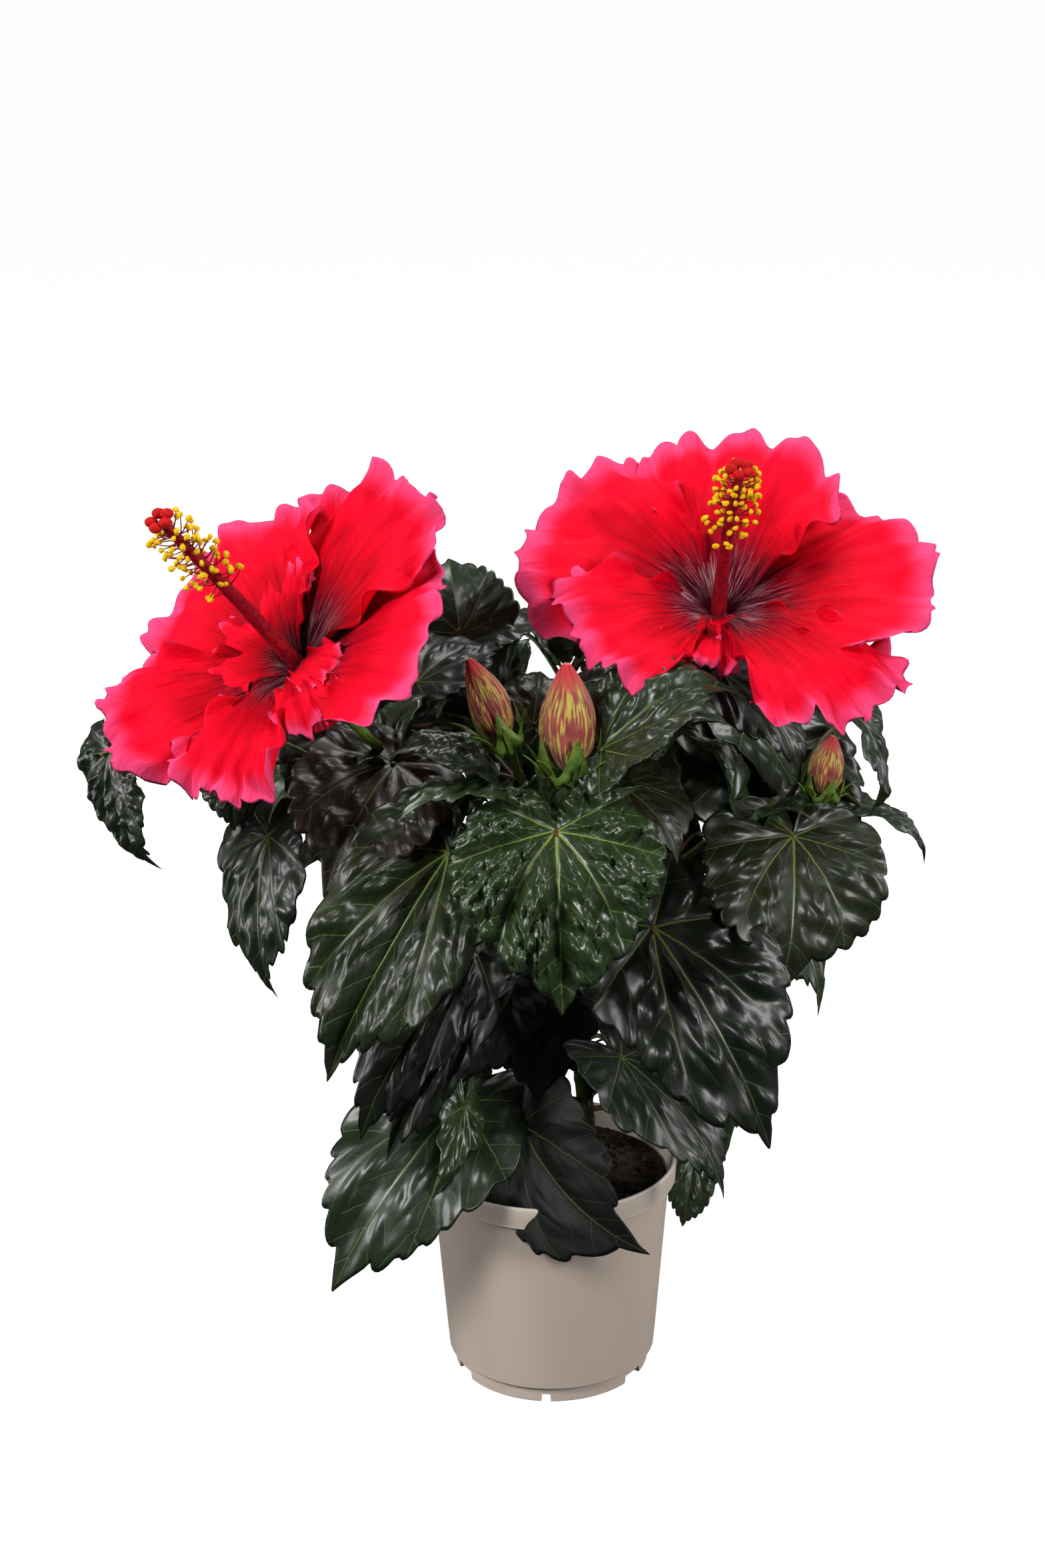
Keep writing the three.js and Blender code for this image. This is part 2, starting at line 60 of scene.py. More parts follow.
def put(name, data):
    """A new object of this data, in the scene."""
    made = bpy.data.objects.new(name, data)
    bpy.context.scene.collection.objects.link(made)
    return made


def make_camera():
    lens = bpy.data.cameras.new("camera")
    lens.lens = LENS
    lens.sensor_width = 36
    lens.clip_start, lens.clip_end = 0.01, 150
    camera = put("camera", lens)
    turn = Matrix.Rotation(math.pi / 2 - CAMERA_DOWN, 4, "X") @ Matrix.Rotation(CAMERA_ROLL, 4, "Z")
    camera.matrix_world = Matrix.Translation(CAMERA_PLACE) @ turn
    bpy.context.scene.camera = camera


make_camera()
bpy.context.scene.view_settings.view_transform = "Standard"
print("camera", LENS, "mm, looking down", round(math.degrees(CAMERA_DOWN), 1), "degrees")

# %% [markdown]
# ## Shader maths as Python
# A material is a graph of nodes. Writing `1 - mask * 0.5` is easier to read than wiring three Math
# nodes, so one small class wraps a socket and adds the node when an operator is used. Any other node
# comes from one method, `Finish.node`.


# %% Values and finishes
class Value:
    """The number or colour that comes out of a node, which adds Math nodes when it is used in sums."""

    def __init__(self, finish, socket):
        self.finish, self.socket = finish, socket

    def math(self, operation, *others):
        inputs = dict(enumerate((self, *others)))
        return self.finish.node("ShaderNodeMath", {"operation": operation}, inputs)

    def __add__(self, other):
        return self.math("ADD", other)

    def __sub__(self, other):
        return self.math("SUBTRACT", other)

    def __mul__(self, other):
        return self.math("MULTIPLY", other)

    def __neg__(self):
        return self.math("MULTIPLY", -1)

    def __rsub__(self, first):
        return self.finish.node("ShaderNodeMath", {"operation": "SUBTRACT"}, {0: first, 1: self})

    __radd__ = __add__
    __rmul__ = __mul__

    def between(self, low, high):
        """0 below low, 1 above high, and a smooth step from one to the other."""
        inputs = {"Value": self, "From Min": low, "From Max": high}
        return self.finish.node("ShaderNodeMapRange", {"interpolation_type": "SMOOTHSTEP"}, inputs)


class Finish:
    """One material: constants are set on the shader's own sockets, what varies is linked by `feed`."""

    def __init__(self, name, **constants):
        self.material = bpy.data.materials.new(name)
        self.material.use_nodes = True
        self.tree = self.material.node_tree
        self.shader = self.tree.nodes["Principled BSDF"]
        for socket, value in constants.items():
            self.shader.inputs[socket.replace("_", " ")].default_value = value

    def node(self, kind, settings=None, inputs=None, output=0):
        made = self.tree.nodes.new(kind)
        for key, value in (settings or {}).items():
            setattr(made, key, value)
        for key, value in (inputs or {}).items():
            self.plug(made.inputs[key], value)
        return Value(self, made.outputs[output])

    def plug(self, socket, value):
        if isinstance(value, Value):
            self.tree.links.new(value.socket, socket)
        else:
            socket.default_value = value

    def feed(self, **varying):
        for socket, value in varying.items():
            self.plug(self.shader.inputs[socket.replace("_", " ")], value)
        return self.material

    def mix(self, factor, first, second):
        """The colour that goes from first to second as factor goes from 0 to 1."""
        inputs = {0: factor, 6: first, 7: second}
        return self.node("ShaderNodeMix", {"data_type": "RGBA"}, inputs, output=2)

    def place(self):
        return self.node("ShaderNodeTexCoord", output="Object")

    def attribute(self, name):
        return self.node("ShaderNodeAttribute", {"attribute_name": name}, output="Fac")

    def pair(self, uv_map):
        """The two coordinates of the piece's own UV map."""
        both = self.node("ShaderNodeUVMap", {"uv_map": uv_map})
        return both, *(self.node("ShaderNodeSeparateXYZ", {}, {0: both}, output=k) for k in (0, 1))

    def vector(self, x, y):
        return self.node("ShaderNodeCombineXYZ", {}, {0: x, 1: y})

    def noise(self, vector, scale, detail=3.0, roughness=0.55):
        inputs = {"Vector": vector, "Scale": scale, "Detail": detail, "Roughness": roughness}
        return self.node("ShaderNodeTexNoise", {}, inputs)

    def bump(self, height, distance, strength=1.0):
        inputs = {"Height": height, "Distance": distance, "Strength": strength}
        return self.node("ShaderNodeBump", {}, inputs)


def tone(red, green, blue):
    return (red, green, blue, 1)


print("values and finishes ready")

# %% [markdown]
# ## Surfaces as arrays
# Every new piece is a surface worked out with numpy: points on a grid of two parameters, and the
# triangles between them. Only the numbers of the points matter to the triangles, so a few functions
# of an array of point numbers serve every shape: a grid, rings round a point, rings along a path.


# %% Triangles
def grid_triangles(index):
    """Two triangles for each cell of an array of point numbers; rows run away, columns to the left."""
    a, b, c, d = index[:-1, :-1], index[1:, :-1], index[1:, 1:], index[:-1, 1:]
    return np.concatenate([np.stack([a, b, c], -1).reshape(-1, 3), np.stack([a, c, d], -1).reshape(-1, 3)])


def closed(index):
    """The point numbers of rings, one a row, with each ring's first point repeated at its end."""
    return np.concatenate([index, index[:, :1]], 1)


def rings_of(rows, columns):
    return closed(np.arange(rows * columns).reshape(rows, columns))


def fan(centre, ring):
    """Triangles from one point to each step of a ring."""
    return np.stack([np.full(len(ring) - 1, centre), ring[:-1], ring[1:]], -1)


def disc(index, centre):
    """The triangles of rings that grow round a point."""
    index = closed(index)
    return np.concatenate([fan(centre, index[0]), grid_triangles(index)])


def shell(rows, columns):
    """The triangles of rings one after another, closed at both ends by the two points that follow."""
    index, end = rings_of(rows, columns), rows * columns
    faces = [grid_triangles(index), fan(end, index[0]), fan(end + 1, index[-1][::-1])]
    return np.concatenate(faces)[:, ::-1]


print("a tube of 5 rings of 6 points has", len(shell(5, 6)), "triangles")

# %% [markdown]
# ## Directions and relief
# Nothing on a plant is smooth. A sum of waves that run in chance directions is a relief that can be
# worked out at any point, for whole arrays at once, and it has no seam where a surface closes.


# %% Directions and relief
def around(angle, u, v):
    """The direction at an angle from u towards v."""
    return math.cos(angle) * u + math.sin(angle) * v


def ripple(points, size, seed, waves=8):
    """Smooth chance relief, about -1 to 1: waves of chance heading, length near size and phase, added."""
    rng = np.random.default_rng(seed)
    heading = rng.normal(size=(waves, 3))
    number = 2 * np.pi / size * rng.uniform(0.6, 1.7, waves)
    heading *= (number / np.linalg.norm(heading, axis=1))[:, None]
    return np.sin(points @ heading.T + rng.uniform(0, 2 * np.pi, waves)).sum(-1) / np.sqrt(2 * waves)


def unit(vector):
    vector = np.asarray(vector, float)
    return vector / np.linalg.norm(vector, axis=-1, keepdims=True)


print("relief at the origin:", round(float(ripple(np.zeros(3), 1, 0)), 3))

# %% [markdown]
# ## Pieces
# A plant has hundreds of leaves and anthers, and an object for each would be slow. A `Piece` gathers
# many closed surfaces and makes one object of them. It sits at the origin and its place is in its
# mesh, as a CAD node's is. It rides on a body and says which CAD nodes it replaces.


# %% Pieces
class Piece:
    """Closed surfaces gathered into one object: UV maps for each corner, values for each point."""

    def __init__(self, name):
        self.name, self.count = name, 0
        self.points, self.faces, self.maps, self.values = [], [], {}, {}

    def add(self, points, faces, maps=None, **values):
        points = np.asarray(points, float).reshape(-1, 3)
        self.points.append(points)
        self.faces.append(np.asarray(faces, np.int64) + self.count)
        self.count += len(points)
        for name, corners in (maps or {}).items():
            self.maps.setdefault(name, []).append(corners.reshape(-1, 2))
        for name, value in values.items():
            self.values.setdefault(name, []).append(np.broadcast_to(np.ravel(value), (len(points),)))

    def finish(self, material, slot, *replaced):
        points, faces = np.concatenate(self.points) * MM, np.concatenate(self.faces)
        mesh = bpy.data.meshes.new(self.name)
        mesh.vertices.add(len(points))
        mesh.vertices.foreach_set("co", points.astype(np.float32).ravel())
        mesh.loops.add(faces.size)
        mesh.loops.foreach_set("vertex_index", faces.astype(np.int32).ravel())
        mesh.polygons.add(len(faces))
        mesh.polygons.foreach_set("loop_start", np.arange(0, faces.size, 3, dtype=np.int32))
        for name, corners in self.maps.items():
            layer = mesh.uv_layers.new(name=name)
            layer.data.foreach_set("uv", np.concatenate(corners).astype(np.float32).ravel())
        for name, value in self.values.items():
            field = mesh.attributes.new(name, "FLOAT", "POINT")
            field.data.foreach_set("value", np.concatenate(value).astype(np.float32))
        mesh.update(calc_edges=True)
        mesh.shade_smooth()
        mesh.materials.append(material)
        made = put(self.name, mesh)
        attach(made, "root")
        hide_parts(*replaced)
        print(f"{self.name}: {len(faces)} triangles")


print("pieces are written in millimetres and made in metres, times", MM)

# %% [markdown]
# ## Thin slabs
# Petals and bracts are thin but not flat sheets: seen from the side they have an edge. A slab gives a
# grid of points two sides that meet at the border. Each side also gets a place of its own on a flat
# sheet of square cells, so that its look can be painted there without touching another's.


# %% Thin slabs
def slab(middle, thickness):
    """A thin closed solid round a grid of points: each point moves half the thickness to both sides
    along the surface's normal, less towards the border, where both sides share their points."""
    rows, columns = middle.shape[:2]
    normal = unit(np.cross(np.gradient(middle, axis=0), np.gradient(middle, axis=1)) + 1e-12)
    s, t = np.linspace(0, 1, rows)[:, None], np.linspace(0, 1, columns)[None, :]
    swell = np.minimum(1, 9 * np.minimum(np.minimum(s, 1 - s), np.minimum(t, 1 - t))) ** 0.5
    offset = normal * (thickness / 2 * swell)[..., None]
    front = np.arange(rows * columns).reshape(rows, columns)
    back = front.copy()
    back[1:-1, 1:-1] = front.size + np.arange((rows - 2) * (columns - 2)).reshape(rows - 2, columns - 2)
    inner = (middle - offset)[1:-1, 1:-1]
    points = np.concatenate([(middle + offset).reshape(-1, 3), inner.reshape(-1, 3)])
    return points, np.concatenate([grid_triangles(front), grid_triangles(back)[:, ::-1]])


def slab_corners(rows, columns, low=(0, 0), high=(1, 1)):
    """The corners' coordinates of a slab's front and back triangles, from low to high."""
    s, t = np.linspace(low[0], high[0], rows), np.linspace(low[1], high[1], columns)
    table = np.stack(np.meshgrid(s, t, indexing="ij"), -1).reshape(-1, 2)
    faces = grid_triangles(np.arange(rows * columns).reshape(rows, columns))
    return table[faces], table[faces[:, ::-1]]


CELL_MARGIN = 0.04


def sheet_cell(corners, number, count, low, high):
    """Moves corner coordinates that run from low to high into one cell of a square sheet of cells,
    with a margin round it."""
    side = math.ceil(math.sqrt(count))
    cell = np.array([number % side, number // side])
    share = (corners - np.array(low)) / (np.array(high) - np.array(low))
    return (cell + CELL_MARGIN + (1 - 2 * CELL_MARGIN) * share) / side


flat_grid = np.stack([*np.mgrid[:4, :5], np.zeros((4, 5))], axis=-1)
print("a slab of 4 by 5 points has", len(slab(flat_grid, 1)[0]), "points")

# %% [markdown]
# ## Paths and tubes
# Stems, stalks, filaments and columns are all tubes: a smooth curve through a few named points, and a
# ring round each point of the curve.


# %% Paths and tubes
def smooth_path(points, count):
    """Points along a Catmull-Rom curve: a cubic from each given point to the next whose slope at a
    point is half the step between its neighbours."""
    p = np.asarray(points, float)
    p = np.concatenate([[2 * p[0] - p[1]], p, [2 * p[-1] - p[-2]]])
    u = np.linspace(0, len(points) - 1 - 1e-9, count)
    k = u.astype(int)
    f = (u - k)[:, None]
    a, b, c, d = p[k], p[k + 1], p[k + 2], p[k + 3]
    return b + 0.5 * f * (c - a + f * (2 * a - 5 * b + 4 * c - d + f * (3 * (b - c) + d - a)))


def tube(path, radius, sides=12):
    """A closed tube: round each point of the path a ring of points, radius away at right angles to it.
    radius is one number, one for each ring, or one for each point of each ring."""
    path = np.asarray(path, float)
    rings = len(path)
    ahead = unit(np.gradient(path, axis=0))
    spare = np.eye(3)[np.argmin(np.abs(path[-1] - path[0]))]
    across = unit(np.cross(ahead, spare))
    other = np.cross(ahead, across)
    turn = np.linspace(0, 2 * np.pi, sides, endpoint=False)
    radius = np.asarray(radius, float)
    if radius.ndim == 1:
        radius = radius[:, None]
    radius = radius * np.ones((rings, sides))
    ring = across[:, None] * np.cos(turn)[None, :, None] + other[:, None] * np.sin(turn)[None, :, None]
    points = np.concatenate([(path[:, None] + radius[..., None] * ring).reshape(-1, 3), path[[0, -1]]])
    return points, shell(rings, sides)


print("a tube along two points has", len(tube([(0, 0, 0), (0, 0, 1)], 1)[0]), "points")

# %% [markdown]
# ## The stage and the light
# A white table under a white dome, with soft boxes round the plant, as for a catalogue picture: the
# leaves are nearly black and glossy, so what is seen of them is mostly the soft boxes' reflections. The
# world is dim, and table and dome shine by themselves but are kept out of reflections and of bounced
# light, because a white world would turn every leaf grey.

# %% Table, world and soft boxes
TABLE_RADIUS = 20  # metres
TABLE_GLOW = 0.97
WORLD_LIGHT = 0.06
SOFT_BOXES = [  # name, place, width, height, watts
    ("key", (-1.1, -1.3, 1.5), 0.55, 0.7, 34),
    ("fill", (1.5, -1.4, 0.95), 0.35, 0.8, 25),
    ("top", (0.2, 0.6, 1.9), 0.9, 0.6, 18),
    ("rim_left", (-1.7, -0.1, 0.4), 0.35, 1.2, 17),
    ("rim_right", (1.7, 0.4, 0.7), 0.35, 1.2, 12),
]
AIM = Vector((0, 0, 0.25))


def make_stage():
    """A flat disc with a half ball over it: the radius runs out along the table and comes back as the
    cosine of the height's angle, and the height is its sine."""
    lift = np.linspace(0, np.pi / 2, 17)
    radius = np.concatenate([[0.0], np.cos(lift)])[:, None] * TABLE_RADIUS
    height = np.concatenate([[0.0], np.sin(lift)])[:, None] * TABLE_RADIUS
    turn = np.linspace(0, 2 * np.pi, 65)
    points = np.stack(np.broadcast_arrays(radius * np.cos(turn), radius * np.sin(turn), height), -1)
    index = np.arange(radius.size * turn.size).reshape(radius.size, turn.size)
    mesh = bpy.data.meshes.new("table")
    mesh.from_pydata(points.reshape(-1, 3).tolist(), [], grid_triangles(index).tolist())
    table = put("table", mesh)
    white = Finish("white table", Base_Color=tone(0.2, 0.2, 0.2), Roughness=0.9)
    white.shader.inputs["Emission Color"].default_value = tone(1, 1, 1)
    white.shader.inputs["Emission Strength"].default_value = TABLE_GLOW
    mesh.materials.append(white.material)
    table.visible_diffuse = table.visible_glossy = False


def make_light():
    world = bpy.data.worlds.new("studio")
    world.use_nodes = True
    background = world.node_tree.nodes["Background"]
    background.inputs["Color"].default_value = tone(1, 1, 1)
    background.inputs["Strength"].default_value = WORLD_LIGHT
    bpy.context.scene.world = world
    for name, place, width, height, watts in SOFT_BOXES:
        box = bpy.data.lights.new(name, "AREA")
        box.shape, box.size, box.size_y, box.energy = "RECTANGLE", width, height, watts
        lamp = put(name, box)
        lamp.location = place
        lamp.rotation_mode = "QUATERNION"
        lamp.rotation_quaternion = (AIM - lamp.location).to_track_quat("-Z", "Y")


make_stage()
make_light()
print(len(SOFT_BOXES), "soft boxes")

# %% [markdown]
# ## The pot
# An injection-moulded pot is a turned shape: a profile swung round an axis. A lathe of the profile's
# points gives the wall, the rim band and the foot ring. The drain holes and the notches of the foot
# are cut with a Boolean, as the CAD does, because a cut through a turned wall isn't a turned shape.

# %% Pot
POT_PROFILE = [  # radius and height
    (0, 0), (24.2, 0), (25, 0.5), (26, 3),  # the pad in the middle of the underside
    (43.4, 3), (44, 2.4), (44, 0), (46.6, 0), (47, 0.5), (47, 7.4), (47.6, 8), (49.2, 8),  # the foot ring
    (50, 8.8), (51, 20), (57, 96.2), (57.6, 97),  # up the wall
    (59.6, 97), (60, 97.5), (60.3, 102), (60.6, 107.4), (60.3, 108), (59.4, 108), (59.1, 107.4),  # the rim
    (57.8, 99), (55.4, 95), (49.4, 20), (46.4, 6), (0, 6),  # down inside and across the floor
]
TURNS = 216
DRAIN_HOLES = {"count": 6, "radius": 4, "ring": 35}
NOTCHES = {"count": 6, "wide": 12, "narrow": 4, "height": 4, "first": -94, "inside": 42.5, "outside": 49}
SHARP_EDGE = 32  # degrees


def lathe(profile, turns):
    """A closed turned solid: each profile point swings round the upright axis; the ends lie on it."""
    profile = np.array(profile, float)
    turn = np.linspace(0, 2 * np.pi, turns, endpoint=False)
    radius, height = profile[1:-1, 0][:, None], profile[1:-1, 1][:, None] + 0 * turn
    rings = np.stack([radius * np.cos(turn), radius * np.sin(turn), height], -1)
    ends = [(0, 0, profile[0, 1]), (0, 0, profile[-1, 1])]
    return np.concatenate([rings.reshape(-1, 3), ends]), shell(len(rings), turns)


def cutters():
    """Round holes through the floor, and boxes through the foot ring, each a short four-sided tube."""
    gathered = Piece("cutters")
    for k in range(DRAIN_HOLES["count"]):
        a = 2 * math.pi * (k + 0.5) / DRAIN_HOLES["count"]
        x, y = DRAIN_HOLES["ring"] * math.cos(a), DRAIN_HOLES["ring"] * math.sin(a)
        gathered.add(*tube([(x, y, -4), (x, y, 3), (x, y, 12)], DRAIN_HOLES["radius"], 32))
    trapezium = [(-1.15, -1), (1.15, -1), (1, NOTCHES["height"]), (-1, NOTCHES["height"])]
    for k in range(NOTCHES["count"]):
        a = 2 * math.pi * k / NOTCHES["count"] + math.radians(NOTCHES["first"])
        half = (NOTCHES["wide"] if k % 2 else NOTCHES["narrow"]) / 2
        out, side = np.array([math.cos(a), math.sin(a), 0]), np.array([-math.sin(a), math.cos(a), 0])
        corners = [[r * out + s * half * side + (0, 0, z) for s, z in trapezium]
                   for r in (NOTCHES["inside"], NOTCHES["outside"])]
        ends = [[0, 1, 2], [0, 2, 3], [4, 6, 5], [4, 7, 6]]
        gathered.add(corners, np.concatenate([grid_triangles(rings_of(2, 4)), ends])[:, ::-1])
    return gathered


def bare_object(gathered):
    mesh = bpy.data.meshes.new(gathered.name)
    mesh.from_pydata(np.concatenate(gathered.points) * MM, [], np.concatenate(gathered.faces).tolist())
    return put(gathered.name, mesh)


print("pot profile:", len(POT_PROFILE), "points")

# %% [markdown]
# ## The pot's plastic
# The plastic is coloured through, with a slight stipple from the mould. Pale painted highlights run
# along the edges of its rim band. Height above the table picks out those edges, so nothing has to be
# painted by hand.


# %% The pot's plastic
def pot_plastic():
    """Taupe-grey plastic with a fine stipple, and pale painted highlights along the edges of its rim band.
    """
    finish = Finish("pot plastic", IOR=1.46)
    place = finish.place()
    height = finish.node("ShaderNodeSeparateXYZ", {}, {0: place}, output=2)
    grain, cloud = finish.noise(place, 900, 2), finish.noise(place, 22, 4)
    rim = height.between(0.0965, 0.0975)
    stain = cloud.between(0.35, 0.75) * 0.35 + grain * 0.2
    # painted highlight: pale lines along the step under the rim band and along the top of the rim
    band = height.between(0.0952, 0.0964) * (1 - height.between(0.0972, 0.0986))
    edge = band + height.between(0.1066, 0.1078)
    wall = finish.mix(stain, tone(0.535, 0.445, 0.38), tone(0.475, 0.395, 0.335))
    wall = finish.mix(rim * 0.3, wall, tone(0.5, 0.44, 0.38))
    colour = finish.mix(edge * 0.6, wall, tone(0.74, 0.68, 0.62))
    rough = finish.noise(place, 60, 3) * 0.12 + 0.46 + rim * 0.12
    return finish.feed(Base_Color=colour, Roughness=rough, Normal=finish.bump(grain, 0.00012, 0.35))


def make_pot():
    gathered = Piece("pot_shell")
    gathered.add(*lathe(POT_PROFILE, TURNS))
    shell, tools = bare_object(gathered), bare_object(cutters())
    cut = shell.modifiers.new("cut", "BOOLEAN")
    cut.operation, cut.solver, cut.object = "DIFFERENCE", "EXACT", tools
    bpy.context.view_layer.update()
    mesh = bpy.data.meshes.new_from_object(shell.evaluated_get(bpy.context.evaluated_depsgraph_get()))
    bpy.data.objects.remove(tools)
    shell.modifiers.clear()
    shell.data = mesh
    mesh.shade_smooth()
    mesh.set_sharp_from_angle(angle=math.radians(SHARP_EDGE))
    mesh.materials.clear()
    mesh.materials.append(pot_plastic())
    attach(shell, "root")
    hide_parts("pot")
    print("pot_shell:", len(mesh.polygons), "faces")


make_pot()

# %% [markdown]
# ## Compost
# Peat compost is a lumpy surface with loose crumbs on it. One turned solid with chance relief gives the
# fill, and a few hundred small crumbs of few faces each break its smoothness.

# %% Compost
COMPOST_RADIUS = 54.6
COMPOST_LEVEL, COMPOST_DOME = 98.2, 1.6
CRUMBS = 360


def compost_finish():
    finish = Finish("peat compost", Roughness=0.95)
    place = finish.place()
    lump, fleck = finish.noise(place, 260, 5, 0.7), finish.noise(place, 90, 3)
    colour = finish.mix(lump.between(0.3, 0.75), tone(0.012, 0.008, 0.005), tone(0.06, 0.036, 0.02))
    colour = finish.mix(fleck.between(0.66, 0.74), colour, tone(0.13, 0.09, 0.055))
    return finish.feed(Base_Color=colour, Normal=finish.bump(lump, 0.0012))


def ball(centre, radius, stacks, slices, stretch=(1, 1, 1), uneven=0.0, seed=0):
    """A closed ball: upright half circle swung round, stretched along the axes and made uneven."""
    tilt = np.linspace(0, np.pi, stacks + 1)
    points, faces = lathe(np.stack([np.sin(tilt), -np.cos(tilt)], -1), slices)
    grown = 1 + uneven * ripple(points, 1.2, seed)[:, None]
    return np.asarray(centre) + radius * points * grown * np.asarray(stretch), faces


def make_compost():
    fill = Piece("compost_fill")
    radii = np.linspace(COMPOST_RADIUS, 0, 46)
    top = [(r, COMPOST_LEVEL + COMPOST_DOME * (1 - (r / COMPOST_RADIUS) ** 2)) for r in radii]
    points, faces = lathe([(0, 6.5), (45.6, 6.5), (48.8, 20), (COMPOST_RADIUS, 94), *top], 150)
    wall = np.clip((COMPOST_RADIUS + 0.9 - np.hypot(points[:, 0], points[:, 1])) / 4, 0, 1)
    high = np.clip((points[:, 2] - 96) / 2, 0, 1) * wall
    points[:, 2] += high * (0.9 * ripple(points, 14, 3) + 0.6 * ripple(points, 5, 4) - 0.6)
    fill.add(points, faces)
    rng = np.random.default_rng(11)
    for k in range(CRUMBS):
        a, r, size = rng.uniform(0, 2 * np.pi), 53 * math.sqrt(rng.uniform()), rng.uniform(0.7, 2.1)
        shape = rng.uniform(0.5, 1.2, 3) * (1, 1, 0.7)
        fill.add(*ball((r * math.cos(a), r * math.sin(a), 98.9), size, 4, 6, shape, 0.2, k))
    fill.finish(compost_finish(), "compost", "compost")


make_compost()

# %% [markdown]
# ## Stems and boughs
# Old wood at the foot is tan and flaky, young wood is green and smooth, and both have a ring and a scar
# wherever a leaf once grew. A limb is a tube along a smooth path whose radius swells at those nodes and
# carries the bark's relief. The paths and radii are the CAD's own.

# %% Limbs
LIMBS = {  # points along the middle, and the radius at the foot and the end
    "stem_right": ([(18, 0, 100.6), (16, 0, 140), (12, -1, 180), (15, -6, 232)], (4.4, 2.9)),
    "stem_left": ([(-31, -5, 100.6), (-32, -5, 160), (-38, -8, 222)], (3.8, 2.6)),
    "stem_back": ([(0, 24, 100.6), (4, 30, 170), (0, 36, 240)], (4, 2.8)),
    "bough_bloom_left": ([(-39, -9, 227), (-62, -24, 300), (-94, -63, 352)], (2.4, 2)),
    "bough_bloom_right": ([(16, -6, 237), (46, 8, 305), (75, 2, 355)], (2.6, 2)),
    "bough_buds": ([(13, -9, 237), (10, -46, 276), (8, -74, 314)], (2.3, 1.8)),
    "bough_bud_left": ([(4, -64, 298), (-10, -68, 312), (-16, -70, 328)], (1.4, 1.3)),
    "bough_right": ([(21, -4, 222), (60, -8, 258), (96, -18, 286), (118, -20, 290)], (2, 1.5)),
    "bough_left": ([(-41, -12, 205), (-58, -32, 255), (-74, -34, 300)], (2, 1.6)),
    "bough_back_left": ([(-4, 37, 205), (-44, 58, 250), (-72, 66, 300)], (2.2, 1.7)),
    "bough_back_right": ([(8, 37, 210), (48, 60, 250), (82, 66, 300)], (2.2, 1.7)),
    "bough_back_top": ([(1, 38, 245), (6, 56, 288), (9, 68, 322)], (2.2, 1.6)),
    "bough_top": ([(-3, 40, 243), (-14, 45, 285), (-21, 44, 315)], (1.9, 1.6)),
    "bough_low_left": ([(-3, 33, 148), (-12, 47, 166), (-19, 56, 184)], (1.8, 1.6)),
    "bough_low_right": ([(9, 33, 150), (20, 46, 168), (28, 54, 184)], (1.8, 1.6)),
    "bough_side_left": ([(-40, 0, 204), (-50, 20, 226), (-58, 37, 241)], (1.9, 1.6)),
    "bough_side_right": ([(17, 3, 188), (46, 26, 208), (66, 43, 224)], (1.9, 1.6)),
}
WOODY_TOP = {"stem_right": 136, "stem_left": 215, "stem_back": 165}  # where bark gives way to green
NODE_SPACING = 23
LIMB_LINES = {name: smooth_path(path, 160) for name, (path, radii) in LIMBS.items()}
print("limbs:", len(LIMBS))

# %% [markdown]
# ## Nodes, scars and bark
# A hibiscus stem is not a plain tube. Every two centimetres or so it thickens into a node, where a
# leaf has left a scar, and the old wood is rough with flaking bark. All of this is added to the radius
# before the rings are made, so one tube carries it.


# %% Nodes, scars and bark
def root_into(name, path):
    """A bough starts inside its stem: its first point is drawn back to the nearest stem's middle. The
    left bud's bough grows from another bough."""
    if name.startswith("stem"):
        return [(path[0][0], path[0][1], path[0][2] - 4), *path]
    parents = [n for n in LIMBS if n != name and (n.startswith("stem") or "bud_left" in name)]
    stems = np.concatenate([LIMB_LINES[n] for n in parents])
    near = stems[np.argmin(np.linalg.norm(stems - path[0], axis=1))]
    return [tuple(near), *path]


def limb_surface(name, rings, sides):
    """Radius: an even taper, plus a rounded ring at each node, plus bark that is coarse on old wood."""
    path, (foot, end) = LIMBS[name]
    line = smooth_path(root_into(name, path), rings)
    far = np.concatenate([[0], np.cumsum(np.linalg.norm(np.diff(line, axis=0), axis=1))])
    share = far / far[-1]
    seed = sum(map(ord, name))
    rng = np.random.default_rng(seed)
    nodes = np.arange(9, far[-1], NODE_SPACING)
    nodes = nodes + rng.uniform(-5, 5, len(nodes))
    swelling = np.exp(-((far[:, None] - nodes) / 2.0) ** 2).sum(1)
    radius = foot + (end - foot) * share + 0.42 * swelling
    old = np.clip((WOODY_TOP.get(name, -99) - line[:, 2]) / 10 + 0.5, 0, 1)
    turn = np.linspace(0, 2 * np.pi, sides, endpoint=False)
    skin = np.stack(np.broadcast_arrays(far[:, None] * 0.5, 3.2 * np.cos(turn), 3.2 * np.sin(turn)), -1)
    flakes = 0.22 * ripple(skin, 2.6, seed + 1) + 0.16 * ripple(skin, 1.1, seed + 2)
    bark = 0.10 * ripple(skin, 4, seed) + old[:, None] * flakes
    scars = 0
    for place, side in zip(nodes, rng.uniform(0, 2 * np.pi, len(nodes))):
        off = np.angle(np.exp(1j * (turn - side)))
        scars = scars + np.exp(-((far[:, None] - place) / 2.4) ** 2 - (off / 0.6) ** 2)
    points, faces = tube(line, radius[:, None] + bark + 0.8 * scars, sides)
    ages = np.concatenate([np.repeat(old, sides), old[[0, -1]]])
    return points, faces, ages


print("a stem has", len(limb_surface("stem_left", 150, 28)[0]), "points")

# %% [markdown]
# ## Bark and green wood
# Old and young wood meet along a ragged line. The mesh says how old each point is and noise frays the
# line, so one material serves both and no seam shows where bark gives way to green.


